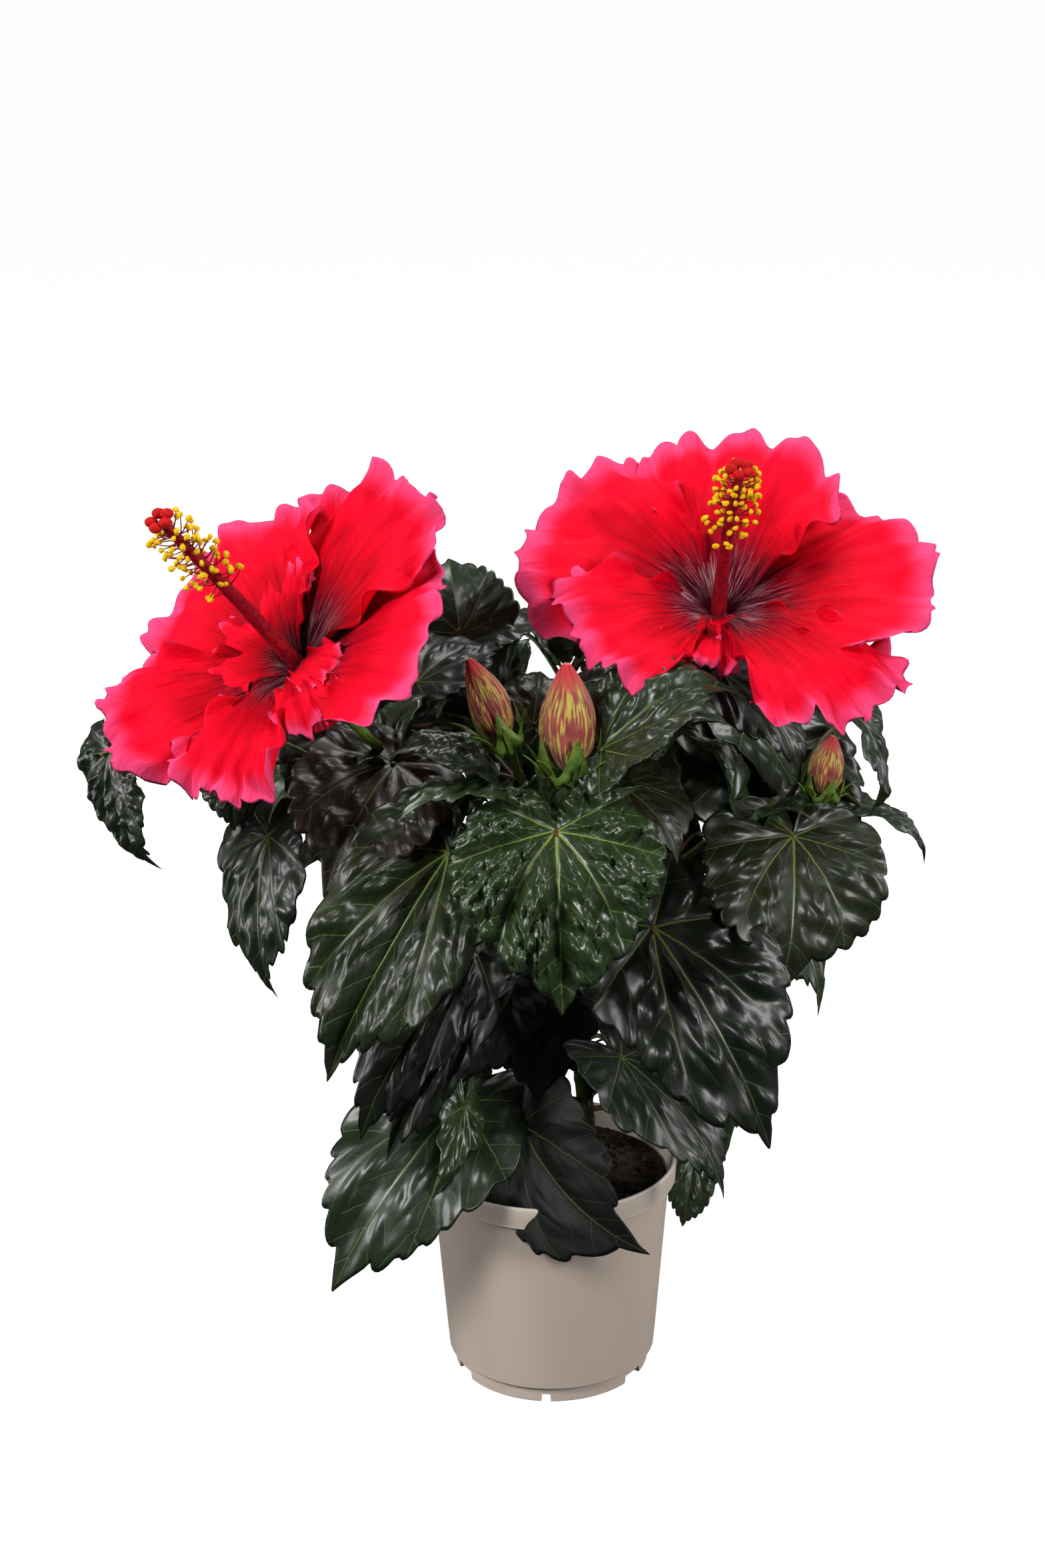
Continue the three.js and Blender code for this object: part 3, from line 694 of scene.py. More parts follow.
# %% Bark and green wood
def wood_finish():
    """Tan flaking bark where `age` is 1, satin green skin where it is 0, and pale pores on both."""
    finish = Finish("bark and green wood", IOR=1.45)
    place, age = finish.place(), finish.attribute("age")
    flake, streak = finish.noise(place, 420, 4, 0.65), finish.noise(place, 140, 3)
    pore = finish.noise(place, 900, 1)
    bark = finish.mix(flake.between(0.35, 0.7), tone(0.085, 0.048, 0.026), tone(0.36, 0.245, 0.15))
    bark = finish.mix(streak.between(0.55, 0.7) * 0.6, bark, tone(0.5, 0.38, 0.27))
    green = finish.mix(streak.between(0.3, 0.7), tone(0.045, 0.085, 0.012), tone(0.13, 0.19, 0.035))
    green = finish.mix(flake.between(0.55, 0.72) * 0.6, green, tone(0.11, 0.055, 0.02))
    ragged = (age + (streak - 0.5) * 0.9).between(0.42, 0.58)
    colour = finish.mix(ragged, green, bark)
    colour = finish.mix(pore.between(0.7, 0.76) * 0.6, colour, tone(0.55, 0.47, 0.34))
    relief = finish.bump(flake * (ragged + 0.25), 0.0007, 0.8)
    return finish.feed(Base_Color=colour, Roughness=ragged * 0.42 + 0.42, Normal=relief)


WOOD = wood_finish()


def make_limbs():
    stems, boughs = Piece("woody_stems"), Piece("green_boughs")
    for name in LIMBS:
        stem = name.startswith("stem")
        points, faces, ages = limb_surface(name, 150 if stem else 90, 28 if stem else 16)
        (stems if stem else boughs).add(points, faces, age=ages)
    stems.finish(WOOD, "bark", *[n for n in LIMBS if n.startswith("stem")])
    boughs.finish(WOOD, "green_stem", *[n for n in LIMBS if n.startswith("bough")])


make_limbs()

# %% [markdown]
# ## The shape of a leaf
# A hibiscus leaf is a heart with a drawn-out tip and blunt teeth, and its blade is quilted: the veins
# pull it down and it swells between them. The outline is a radius for each direction from the joint of
# blade and stalk, so the blade is a grid of direction and share of the way out.


# %% Outline and veins
OUTLINE = smooth_path([  # direction in degrees from the tip, and radius in blade lengths
    (0, 1.0), (3, 0.905), (6, 0.85), (12, 0.80), (20, 0.755), (30, 0.70), (45, 0.62), (65, 0.535),
    (90, 0.455), (115, 0.39), (140, 0.325), (160, 0.245), (172, 0.14), (180, 0.04)], 500)
BLADE_SPREAD = 0.98  # the heart's width as a share of its length
MAIN_VEINS = [(0, 0.0, 1.0), (37, 0.32, 0.60), (78, 0.20, 0.46), (122, 0.12, 0.36)]  # degrees, bend, length
SIDE_VEIN_STEP = 0.15
TEETH = 12  # on each side
TOOTH_DEPTH = 0.075  # as a share of the radius


def margin_radius(angle):
    """A smooth curve through the outline's named radii, the same on both sides."""
    return np.interp(np.degrees(np.abs(angle)), OUTLINE[:, 0], OUTLINE[:, 1])


def pick(v, numpy_call, operation, *others):
    """The same sum on numbers or on a shader's values."""
    return v.math(operation, *others) if isinstance(v, Value) else numpy_call(v, *others)


def absolute(v):
    return pick(v, np.abs, "ABSOLUTE")


def fraction(v):
    return pick(v, lambda a: a - np.floor(a), "FRACT")


def less(v, other):
    return pick(v, lambda a, b: (a < b) * 1.0, "LESS_THAN", other)


def smaller(v, other):
    return pick(v, np.minimum, "MINIMUM", other)


def larger(v, other):
    return pick(v, np.maximum, "MAXIMUM", other)


def vein_lines(x, y):
    """How far a point of the blade is from its main and side veins, in blade lengths.
    A main vein leaves the joint at its angle and bends towards the tip by the square of the way
    along. Side veins leave the nearest main vein forwards, one step after another."""
    w = absolute(y)
    main = near = way = None
    for k, (angle, bend, length) in enumerate(MAIN_VEINS):
        c, s = math.cos(math.radians(angle)), math.sin(math.radians(angle))
        u = x * c + w * s
        n = w * c - x * s + u * u * bend
        off = absolute(n) + larger(-u, 0) * 2
        tapered = off - larger(0.0058 - u * (0.0052 / length), 0.0006) * (1 - 0.17 * k)
        along = u - off * 0.85 - off * off * 1.3 + less(n, 0) * 0.05 + k * 0.031
        if main is None:
            main, near, way = tapered, off, along
        else:
            closer = less(off, near)
            main, near = smaller(tapered, main), smaller(off, near)
            way = along * closer + way * (1 - closer)
    side = absolute(fraction(way * (1 / SIDE_VEIN_STEP)) - 0.5) * SIDE_VEIN_STEP * 0.75
    return main, side


def leaf_outline(count, seed):
    """Directions spaced evenly along the margin, and the toothed margin's radius in each."""
    fine = np.linspace(-np.pi, np.pi, 4001)
    r = margin_radius(fine)
    step = np.hypot(np.diff(r * np.cos(fine)), np.diff(r * np.sin(fine)))
    far = np.concatenate([[0], np.cumsum(step)])
    angle = np.interp(np.linspace(0, far[-1], count, endpoint=False), far, fine)
    way = np.abs(np.interp(angle, fine, far) / far[-1] - 0.5) * 2
    rng = np.random.default_rng(seed)
    uneven = 0.35 * np.sin(way * rng.uniform(9, 15) + rng.uniform(0, 6))
    tooth = fraction((1 - way) * TEETH + uneven + (angle > 0) * rng.uniform(0.2, 0.8))
    shape = np.abs(np.sin(np.pi * tooth ** 1.25)) ** 0.6
    depth = TOOTH_DEPTH * np.clip((1 - way) * 9, 0, 1) * np.clip(way * 9, 0.25, 1)
    lobed = 1 + 0.035 * np.sin(5 * angle + rng.uniform(0, 6)) * np.clip(np.abs(angle) * 3, 0, 1)
    return angle, margin_radius(angle) * lobed * (1 + depth * (shape - 0.5))


print("teeth to a leaf:", 2 * TEETH)

# %% [markdown]
# ## One leaf in space
# The flat blade is bent: arched along its midrib, folded about it, cupped, waved at the margin and
# rolled or curled at the tip, with the quilting on top. Upper and under side are two skins that share
# the margin, so the leaf is a closed solid about half a millimetre thick.

# %% Leaf surface
LEAF_THICKNESS = 0.5
LEAF_LOOK = dict(  # what a leaf looks like where its row says nothing else
    arch=0.45, cup=0.25, wave=0.05, quilt=0.04, pucker=0, curl=0.2, fold=10, roll=0, twist=0,
    tint=0.3, rust=0)


def leaf_frame(joint, tip, face, roll):
    """Along the midrib, to the side, and up from the upper face; roll turns the blade about the midrib."""
    along = unit(np.asarray(tip, float) - joint)
    up = np.asarray(face, float)
    up = unit(up - along * (up @ along))
    side = np.cross(up, along)
    c, s = math.cos(math.radians(roll)), math.sin(math.radians(roll))
    return along, side * c + up * s, up * c - side * s


def leaf_height(x, y, share, angle, look, seed):
    """Arch, cup, tip curl, margin waves and quilting, in blade lengths."""
    a, b, c = np.random.default_rng(seed).uniform(0, 6, 3)
    waves = np.sin(4 * angle + a) * 0.6 + np.sin(9 * angle + b) * 0.35 + np.sin(17 * angle + c) * 0.16
    main, side = vein_lines(x, y)
    from_side = 1 - np.exp(-((side / 0.026) ** 2))
    valley = (1 - np.exp(-((np.maximum(main, 0) / 0.05) ** 2))) * (0.55 + 0.45 * from_side)
    flat = np.stack([x, y, 0 * x + seed], -1)
    quilt = valley * (0.7 + 0.8 * ripple(flat, 0.26, seed)) + 0.03 * ripple(flat, 0.12, seed + 1)
    pucker = valley * np.abs(ripple(flat, 0.1, seed + 2, 5)) ** 0.7
    relief = (look["quilt"] * quilt + look["pucker"] * pucker) * (1 - 0.55 * share ** 8)
    drooping = look["curl"] * np.clip(x - 0.55, 0, 1) ** 2 * 2
    bent = look["arch"] * x * (1 - x) - look["cup"] * y * y - drooping
    return bent + look["wave"] * waves * share ** 2.5 + relief


def leaf_surface(joint, tip, width, face, look, seed, spokes, rings):
    """Points, the two skins' triangles, the flat coordinates of their corners, and which points are the
    underside's. Flat, x runs along the midrib and y across, in blade lengths. The fold lifts both
    halves by its sine, and the twist turns the blade more and more towards the tip."""
    joint = np.asarray(joint, float)
    length = np.linalg.norm(np.asarray(tip, float) - joint)
    along, side, up = leaf_frame(joint, tip, face, look["roll"])
    angle, radius = leaf_outline(spokes, seed)
    share = np.linspace(0, 1, rings + 1)[1:, None] ** 0.85
    x, y = share * radius * np.cos(angle), share * radius * np.sin(angle)
    x, y, share, angle = (np.append(v, 0) for v in np.broadcast_arrays(x, y, share, angle))
    z = leaf_height(x, y, share, angle, look, seed)
    fold, twist = math.radians(look["fold"]), math.radians(look["twist"]) * np.clip(x, 0, 1) ** 1.5
    spread = y * width / BLADE_SPREAD / length
    across, lift = spread * math.cos(fold), np.abs(spread) * math.sin(fold)
    z = z + lift * np.cos(twist) + across * np.sin(twist)
    across = across * np.cos(twist) - lift * np.sin(twist)
    middle = joint + length * (x[:, None] * along + across[:, None] * side + z[:, None] * up)
    half = LEAF_THICKNESS / 2 * (1 - share ** 6)[:, None] * up
    count = rings * spokes
    inner = slice(0, count - spokes)
    points = np.concatenate([middle + half, (middle - half)[inner], middle[-1:] - half[-1:]])
    top = np.arange(count).reshape(rings, spokes)
    under = top + count + 1
    under[-1] = top[-1]
    skins = [disc(top, count), disc(under, len(points) - 1)[:, ::-1]]
    flat = np.stack([x, y], -1)
    flat = np.concatenate([flat, flat[inner], flat[-1:]])
    below = (np.arange(len(points)) > count) * 1.0
    return points, skins, [flat[skin] for skin in skins], below


print("a leaf is", LEAF_THICKNESS, "mm thick")

# %% [markdown]
# ## The leaf's finish
# The finish reads the same flat coordinates and the same vein formula as the shape does, so the pale
# veins lie in the valleys of the quilting. What differs from leaf to leaf comes as values on the
# mesh's points: how green it is, how bronze, and which side is underneath.


# %% The leaf's finish
def leaf_finish():
    """Nearly black green, glossy and quilted, with yellow-green veins; grey-green and dull underneath.
    `tint` goes from dull near black to glossy fresh green, `rust` turns the blade bronze, and `under`
    is the underside."""
    finish = Finish("leaf", IOR=1.4, Coat_Roughness=0.3, Coat_IOR=1.5)
    flat, x, y = finish.pair("leaf")
    tint, rust, under = (finish.attribute(n) for n in ("tint", "rust", "under"))
    jitter = finish.noise(flat, 9, 2)
    x, y = x + (jitter - 0.5) * 0.02, y + (finish.noise(flat, 7, 2) - 0.5) * 0.016
    main, side = vein_lines(x, y)
    cells = {"Vector": flat, "Scale": 21.0}
    cells = finish.node("ShaderNodeTexVoronoi", {"feature": "DISTANCE_TO_EDGE"}, cells)
    main_line, side_line = 1 - main.between(-0.001, 0.0022), 1 - side.between(0.0006, 0.004)
    net = 1 - cells.between(0.0, 0.07)
    cloud = finish.noise(flat, 6, 4)
    blade = finish.mix(tint, tone(0.0030, 0.0046, 0.0030), tone(0.017, 0.040, 0.009))
    blade = finish.mix(cloud.between(0.4, 0.7) * 0.5 * tint, blade, tone(0.022, 0.038, 0.010))
    blade = finish.mix(rust * cloud.between(0.2, 0.6), blade, tone(0.022, 0.0085, 0.0045))
    blade = finish.mix(net * 0.22 * tint, blade, tone(0.06, 0.11, 0.03))
    blade = finish.mix(side_line * (tint * 0.75 + 0.12), blade, tone(0.11, 0.18, 0.035))
    blade = finish.mix(main_line * (tint * 0.6 + 0.3), blade, tone(0.25, 0.34, 0.05))
    back = finish.mix(cloud.between(0.3, 0.7), tone(0.075, 0.105, 0.05), tone(0.12, 0.16, 0.085))
    back = finish.mix(net * 0.3 + side_line * 0.5, back, tone(0.2, 0.25, 0.13))
    back = finish.mix(main_line * 0.8, back, tone(0.33, 0.38, 0.2))
    grain = finish.noise(flat, 120, 3)
    shine = tint.between(0.0, 0.07) * (1 - under)
    rough = 0.62 - shine * (0.3 - cloud * 0.16 - grain * 0.08)
    relief = cells.between(0, 0.4) * 0.1 + grain * 0.09 - side_line * 0.25 - main_line * 0.25
    relief = relief * (1 - under * 1.7)
    return finish.feed(
        Base_Color=finish.mix(under, blade, back), Roughness=rough,
        Coat_Weight=shine * (0.42 + tint * 0.45 - rust * 0.4), Normal=finish.bump(relief, 0.0008, 0.75),
    )


LEAF = leaf_finish()
print("leaf finish:", len(LEAF.node_tree.nodes), "nodes")

# %% [markdown]
# ## Masses of leaves
# The CAD names each mass of foliage and the hub that its stalks grow from. Leaves at the front are
# placed one by one. The shoots of the sides and the back are grown by rule, as the CAD grows them:
# each next leaf turns by the golden angle and hangs less the higher it stands. Every mass then gets a
# few small young leaves on its limb, because a live shoot is never bare.

# %% Where the leaves are
FRONT, UP = (0, -1, 0.45), (0, -0.15, 1)
MASSES = {  # hub, then leaves: joint of blade and stalk, tip, width, way the upper face looks, looks
    "leaves_front": ((9, -54, 286), [
        ((2, -95, 303), (4, -126, 232), 88, FRONT,
         dict(quilt=0.085, pucker=0.2, fold=4, wave=0.03, tint=1, arch=0.42, cup=0.3)),
        ((32, -40, 305), (58, -52, 274), 56, UP, dict(rust=0.5)),
    ]),
    "leaves_front_right": ((30, -10, 236), [
        ((45, -60, 246), (99, -85, 149), 84, (0.25, -1, 0.5),
         dict(quilt=0.06, pucker=0.008, fold=5, tint=0.08, curl=0.1)),
    ]),
    "leaves_low_right": ((25, 0, 158), [
        ((32, -45, 177), (80, -66, 117), 62, (0.7, -0.7, 0.7), dict(quilt=0.023, tint=0.15, fold=12)),
        ((72, 42, 84), (66, 34, 49), 28, FRONT, dict(tint=0.6)),
    ]),
    "leaves_right": ((88, -16, 276), [
        ((110, -25, 276), (104, -55, 212), 88, (0.2, -1, 0.6),
         dict(quilt=0.042, fold=6, tint=0.35, rust=0.3, twist=-25)),
        ((148, 30, 272), (182, 40, 239), 30, UP, dict(tint=0.3, arch=0.6)),
        ((144, 20, 319), (155, 26, 269), 48, (1, -0.3, 0.5), dict(tint=0.3)),
        ((62, 20, 252), (108, 32, 227), 56, (0, -0.2, -1), dict(tint=0.6, arch=-0.3)),
    ]),
    "leaves_bloom_right": ((44, 6, 300), [
        ((22, -78, 334), (78, -62, 367), 62, (0, -0.35, 1),
         dict(quilt=0.05, pucker=0.03, tint=0.5, arch=0.3, fold=14, cup=0.1, curl=0.9)),
        ((76, -8, 350), (115, -22, 300), 58, UP, dict(tint=0.1)),
        ((24, -20, 332), (68, 26, 340), 54, UP, dict(rust=0.6)),
    ]),
    "leaves_top": ((-22, 44, 322), [
        ((-40, 35, 356), (-46, 60, 388), 56, FRONT, dict(tint=0.35, quilt=0.023)),
        ((-36, 36, 352), (4, 46, 356), 48, UP, dict(tint=0.1)),
        ((-59, -5, 344), (-22, 30, 352), 56, UP, dict(tint=0.05)),
        ((-20, 12, 330), (-52, 20, 346), 50, UP, dict(tint=0.05)),
        ((-7, 0, 322), (-3, 26, 341), 40, FRONT, dict(rust=0.7)),
    ]),
    "leaves_centre": ((-6, -58, 300), [
        ((-22, -62, 318), (-68, -72, 334), 48, UP, dict(quilt=0.05, pucker=0.045, tint=0.25, arch=0.3)),
        ((-21, -66, 312), (-64, -118, 318), 38, (-0.2, -0.1, 1), dict(tint=1.0, arch=0.2, fold=14)),
        ((-64, -2, 322), (-94, 10, 332), 50, UP, dict(tint=0.05)),
    ]),
    "leaves_left": ((-58, -33, 262), [
        ((-44, -75, 287), (-99, -100, 191), 80, (-0.2, -1, 0.4),
         dict(quilt=0.05, pucker=0.018, fold=26, tint=0.45, rust=0.25)),
        ((-68, -45, 318), (-99, -82, 272), 74, (-0.2, -1, 0.6), dict(rust=0.8, tint=0.1, quilt=0.049)),
        ((-80, -12, 320), (-120, -32, 292), 60, (-0.2, -0.8, 0.9), dict(rust=0.4, tint=0.05)),
    ]),
    "leaves_outer_left": ((-76, -34, 306), [
        ((-126, -30, 280), (-125, -46, 207), 52, (-0.7, -0.9, 0.3), dict(tint=0.15, twist=20)),
        ((-196, -22, 318), (-176, -32, 264), 44, (-0.8, -0.7, 0.4),
         dict(tint=0.15, quilt=0.05, pucker=0.035, twist=30)),
        ((-142, -14, 304), (-142, -26, 281), 30, FRONT, dict(tint=0.2)),
    ]),
    "leaves_middle": ((-39, -12, 200), [
        ((-34, -45, 230), (-88, -76, 153), 56, (-0.35, -1, 0.6), dict(tint=0.05, fold=20, wave=0.07)),
        ((-30, -48, 226), (-76, -70, 137), 42, (0.0, -1, 0.6), dict(tint=0.05, fold=30, wave=0.07)),
        ((-26, -18, 216), (-42, -38, 160), 66, FRONT, dict(tint=0.0)),
    ]),
    "leaves_low_left": ((-38, -9, 150), [
        ((-42, -32, 150), (-104, -72, 74), 78, (-0.3, -0.9, 0.4), dict(tint=0.35, quilt=0.02, fold=6)),
        ((-40, -46, 154), (-56, -64, 103), 28, (0.8, -0.6, 0.5), dict(tint=1.0)),
    ]),
    "leaves_low_front": ((12, -6, 132), [
        ((-14, -32, 138), (38, -80, 93), 78, (0, -1, -0.25), dict(tint=0, quilt=0.02)),
        ((-6, -16, 212), (-6, -40, 152), 66, FRONT, dict(tint=0.0)),
    ]),
}
SHOOTS = {  # hub, length, heading, leaves, blade length, hang of the lowest leaf in degrees, reach
    "leaves_back_left": ((-66, 66, 292), 34, 150, 6, 88, 62, 0.9),
    "leaves_back_right": ((76, 66, 292), 34, 40, 6, 90, 62, 0.9),
    "leaves_back_top": ((10, 70, 330), 26, 80, 4, 72, 45, 1),
    "leaves_back_low_left": ((-20, 58, 190), 30, 120, 5, 92, 66, 1),
    "leaves_back_low_right": ((30, 56, 190), 30, 50, 5, 92, 66, 1),
    "leaves_side_left": ((-60, 40, 246), 24, 140, 4, 68, 60, 1),
    "leaves_side_right": ((70, 46, 230), 24, 62, 4, 72, 62, 1),
}
GOLDEN_ANGLE = 137.5


def chance(k):
    """The CAD's own repeatable number from 0 to 1 for a whole number k."""
    s = math.sin(k * 12.9898) * 43758.5453
    return s - math.floor(s)


def shoot_leaves(hub, rise, turn, leaves, blade, hang, reach, seed):
    """The leaves of a shoot, by the CAD's rule."""
    rows = []
    for i in range(leaves):
        share = (i + 0.5) / leaves
        swing = ((GOLDEN_ANGLE * i) % 360 - 180) * 0.55
        heading = math.radians(turn + swing + 24 * (chance(seed + i) - 0.5))
        out = np.array([math.cos(heading), math.sin(heading), 0])
        stalk = 26 + 14 * chance(seed + i + 50)
        size = blade * (1.08 - 0.3 * share) * (0.92 + 0.16 * chance(seed + i + 90))
        joint = np.array(hub) + out * stalk * reach + (0, 0, rise * (share - 0.35) + 8)
        drop = math.radians(hang * (1 - 0.45 * share))
        tip = joint + out * size * math.cos(drop) - (0, 0, size * math.sin(drop))
        tint, fold, roll, twist = (chance(seed + i + k) for k in (7, 17, 27, 37))
        looks = dict(tint=0.15 + 0.5 * tint, fold=6 + 16 * fold, roll=24 * (roll - 0.5),
                     twist=30 * (twist - 0.5), quilt=0.042)
        rows.append((joint, tip, size * 0.86, (out[0] * 0.5, out[1] * 0.5, 1), looks))
    return rows


for number, (name, shoot) in enumerate(SHOOTS.items()):
    MASSES[name] = (shoot[0], shoot_leaves(*shoot, 100 * (number + 1)))
print("leaves placed:", sum(len(rows) for hub, rows in MASSES.values()))

# %% [markdown]
# ## Stalks
# A leaf stalk is thicker at both ends, where it can bend, and arches upwards. It grows from the
# nearest limb, so that no leaf hangs in the air.

# %% Stalks and young leaves
LIMB_POINTS = np.concatenate([line[20:] for line in LIMB_LINES.values()])


def nearest_limb(point):
    return LIMB_POINTS[np.argmin(np.linalg.norm(LIMB_POINTS - point, axis=1))]


def stalk_surface(start, joint, along, thick=1.15):
    """A tube from the limb to the joint, arched upwards, whose radius swells at both ends."""
    start, joint = np.asarray(start, float), np.asarray(joint, float)
    reach = np.linalg.norm(joint - start)
    middle = start * 0.5 + joint * 0.5 + (0, 0, 0.16 * reach)
    path = smooth_path([start, middle, joint, joint + along * 4], 22)[:-4]
    share = np.linspace(0, 1, len(path))
    swell = 1 + 0.5 * np.exp(-((share / 0.06) ** 2)) + 0.3 * np.exp(-(((1 - share) / 0.05) ** 2))
    return tube(path, thick * swell * (1.1 - 0.25 * share), 8)


def young_leaves(hub, seed, count):
    """Small upright leaves near the hub, spread round it by the golden angle."""
    rng = np.random.default_rng(seed)
    base = nearest_limb(np.array(hub))
    outward = unit(np.array([base[0], base[1], 40.0]))
    rows = []
    for i in range(count):
        a = math.radians(GOLDEN_ANGLE * i) + rng.uniform(0, 0.6)
        out = unit(np.array([math.cos(a), math.sin(a), 0.5]) + outward * 0.7)
        joint = np.array(hub) + out * rng.uniform(9, 17)
        size = rng.uniform(22, 40)
        tip = joint + unit(out + (0, 0, rng.uniform(-0.5, 0.3))) * size
        looks = dict(tint=rng.uniform(0.5, 1), fold=rng.uniform(14, 34), quilt=0.057, curl=0.5, arch=0.3)
        rows.append((joint, tip, size * 0.8, (-out[0] * 0.4, -out[1] * 0.4, 1), looks))
    return rows


YOUNG_LEAVES = 3  # in a mass that isn't named here
FEWER_OR_MORE = {"leaves_front_right": 1, "leaves_low_right": 1, "leaves_low_left": 1,
                 "leaves_low_front": 1, "leaves_middle": 1, "leaves_centre": 4}
PLACED_DETAIL, GROWN_DETAIL, YOUNG_DETAIL = (156, 24), (104, 15), (60, 8)  # spokes and rings
FLAT_BOX = (-0.42, -0.62), (1.08, 0.62)  # what a flat blade lies within, in blade lengths


print("young leaves at the front buds:", len(young_leaves(MASSES["leaves_centre"][0], 0, 4)))

# %% [markdown]
# ## Every leaf in its place
# One object for each mass of leaves replaces the mass of the same name in the CAD, and one object
# holds all the stalks. Leaves that face the camera get more points than those at the back.


# %% Every leaf in its place
def stalk_finish():
    """Green, flushed red-brown in patches, a little hairy and dull."""
    finish = Finish("leaf stalk", IOR=1.45)
    place = finish.place()
    flush, streak = finish.noise(place, 45, 3), finish.noise(place, 700, 2)
    colour = finish.mix(flush.between(0.4, 0.62), tone(0.07, 0.11, 0.02), tone(0.10, 0.035, 0.012))
    colour = finish.mix(streak.between(0.6, 0.75) * 0.4, colour, tone(0.2, 0.22, 0.07))
    relief = finish.bump(streak, 0.0003, 0.5)
    return finish.feed(Base_Color=colour, Roughness=streak * 0.2 + 0.4, Normal=relief)


def make_leaves():
    stalks = Piece("leaf_stalks")
    for number, (name, (hub, placed)) in enumerate(MASSES.items()):
        detail = GROWN_DETAIL if name in SHOOTS else PLACED_DETAIL
        young = young_leaves(hub, 500 + number, FEWER_OR_MORE.get(name, YOUNG_LEAVES))
        rows = [(row, detail, 1.15) for row in placed] + [(row, YOUNG_DETAIL, 0.6) for row in young]
        foliage = Piece(name.replace("leaves", "foliage"))
        for i, ((joint, tip, width, face, looks), grid, thick) in enumerate(rows):
            seed = 1000 * (number + 1) + 10 * i
            look = {**LEAF_LOOK, **looks}
            points, skins, flats, below = leaf_surface(joint, tip, width, face, look, seed, *grid)
            cells = [sheet_cell(flat, 2 * i + k, 2 * len(rows), *FLAT_BOX) for k, flat in enumerate(flats)]
            maps = {"leaf": np.concatenate(flats), "OFBake": np.concatenate(cells)}
            faces = np.concatenate(skins)
            foliage.add(points, faces, maps, under=below, tint=look["tint"], rust=look["rust"])
            reach = np.asarray(hub) * 0.65 + np.asarray(joint) * 0.35
            along = unit(np.asarray(tip, float) - joint)
            stalks.add(*stalk_surface(nearest_limb(reach), joint, along, thick))
        foliage.finish(LEAF, "foliage", name)
    stalks.finish(stalk_finish(), "green_stem")


make_leaves()

# %% [markdown]
# ## Petals
# Each bloom has five broad petals that open like a funnel and then flatten, with a ruffled, frilled
# margin. A petal is a fan: one parameter runs out from the throat and the other across. Its finish
# follows those two parameters, because the dark throat, the fine veins and the pink margin do.

# %% Bloom frames and petals
BLOOMS = {  # throat, axis, the side that turns are counted from and the column's length, as in the CAD;
    # then each petal and each small frill in the throat: turn, length, half angle, opening and fall
    "left": {
        "throat": (-104, -75, 369), "axis": (-49, -60, 78), "up": (0.3, 1, 0.5), "column": 110,
        "petals": [(-35, 94, 35, 34, 8), (-92, 81, 49, 22, -10), (-196, 77, 24, 40, 15),
                   (112, 88, 26, 30, 0), (40, 80, 49, 40, 10)],
        "frills": [(86, 46, 34, 60, 30), (10, 50, 22, 66, 24), (-150, 46, 26, 52, 24),
                   (-118, 34, 30, 70, 30)],
    },
    "right": {
        "throat": (76, -10, 374), "axis": (4, -52, 77), "up": (0, 1, 0.5), "column": 93,
        "petals": [(-9, 92, 40, 44, 5), (-81, 95, 43, 31, 0), (-142, 98, 28, 45, 20),
                   (119, 82, 32, 42, 5), (66, 94, 42, 40, 12)],
        "frills": [(160, 46, 30, 50, 20), (196, 30, 30, 62, 24)],
    },
}
PETAL_TILT = -0.12  # each petal lies over its neighbour on one side and under it on the other
PETAL_GRID, FRILL_GRID = (64, 84), (34, 48)
PETAL_RUFFLE, FRILL_RUFFLE, FUNNEL_RUFFLE = 0.075, 0.1, 0.01  # of the length
FUNNEL = (90, 27, 160, 38, 12)  # the dark cup that closes the throat, given as a petal is
FUNNEL_LIP = 0.36  # how far out on a petal's finish the funnel ends
PETAL_START = 0.05  # where a petal starts, as a share of its length
PETAL_THICKNESS = 0.5


def bloom_frame(spec):
    out = unit(spec["axis"])
    u = np.asarray(spec["up"], float)
    u = unit(u - out * (u @ out))
    return np.asarray(spec["throat"], float), out, u, np.cross(out, u)


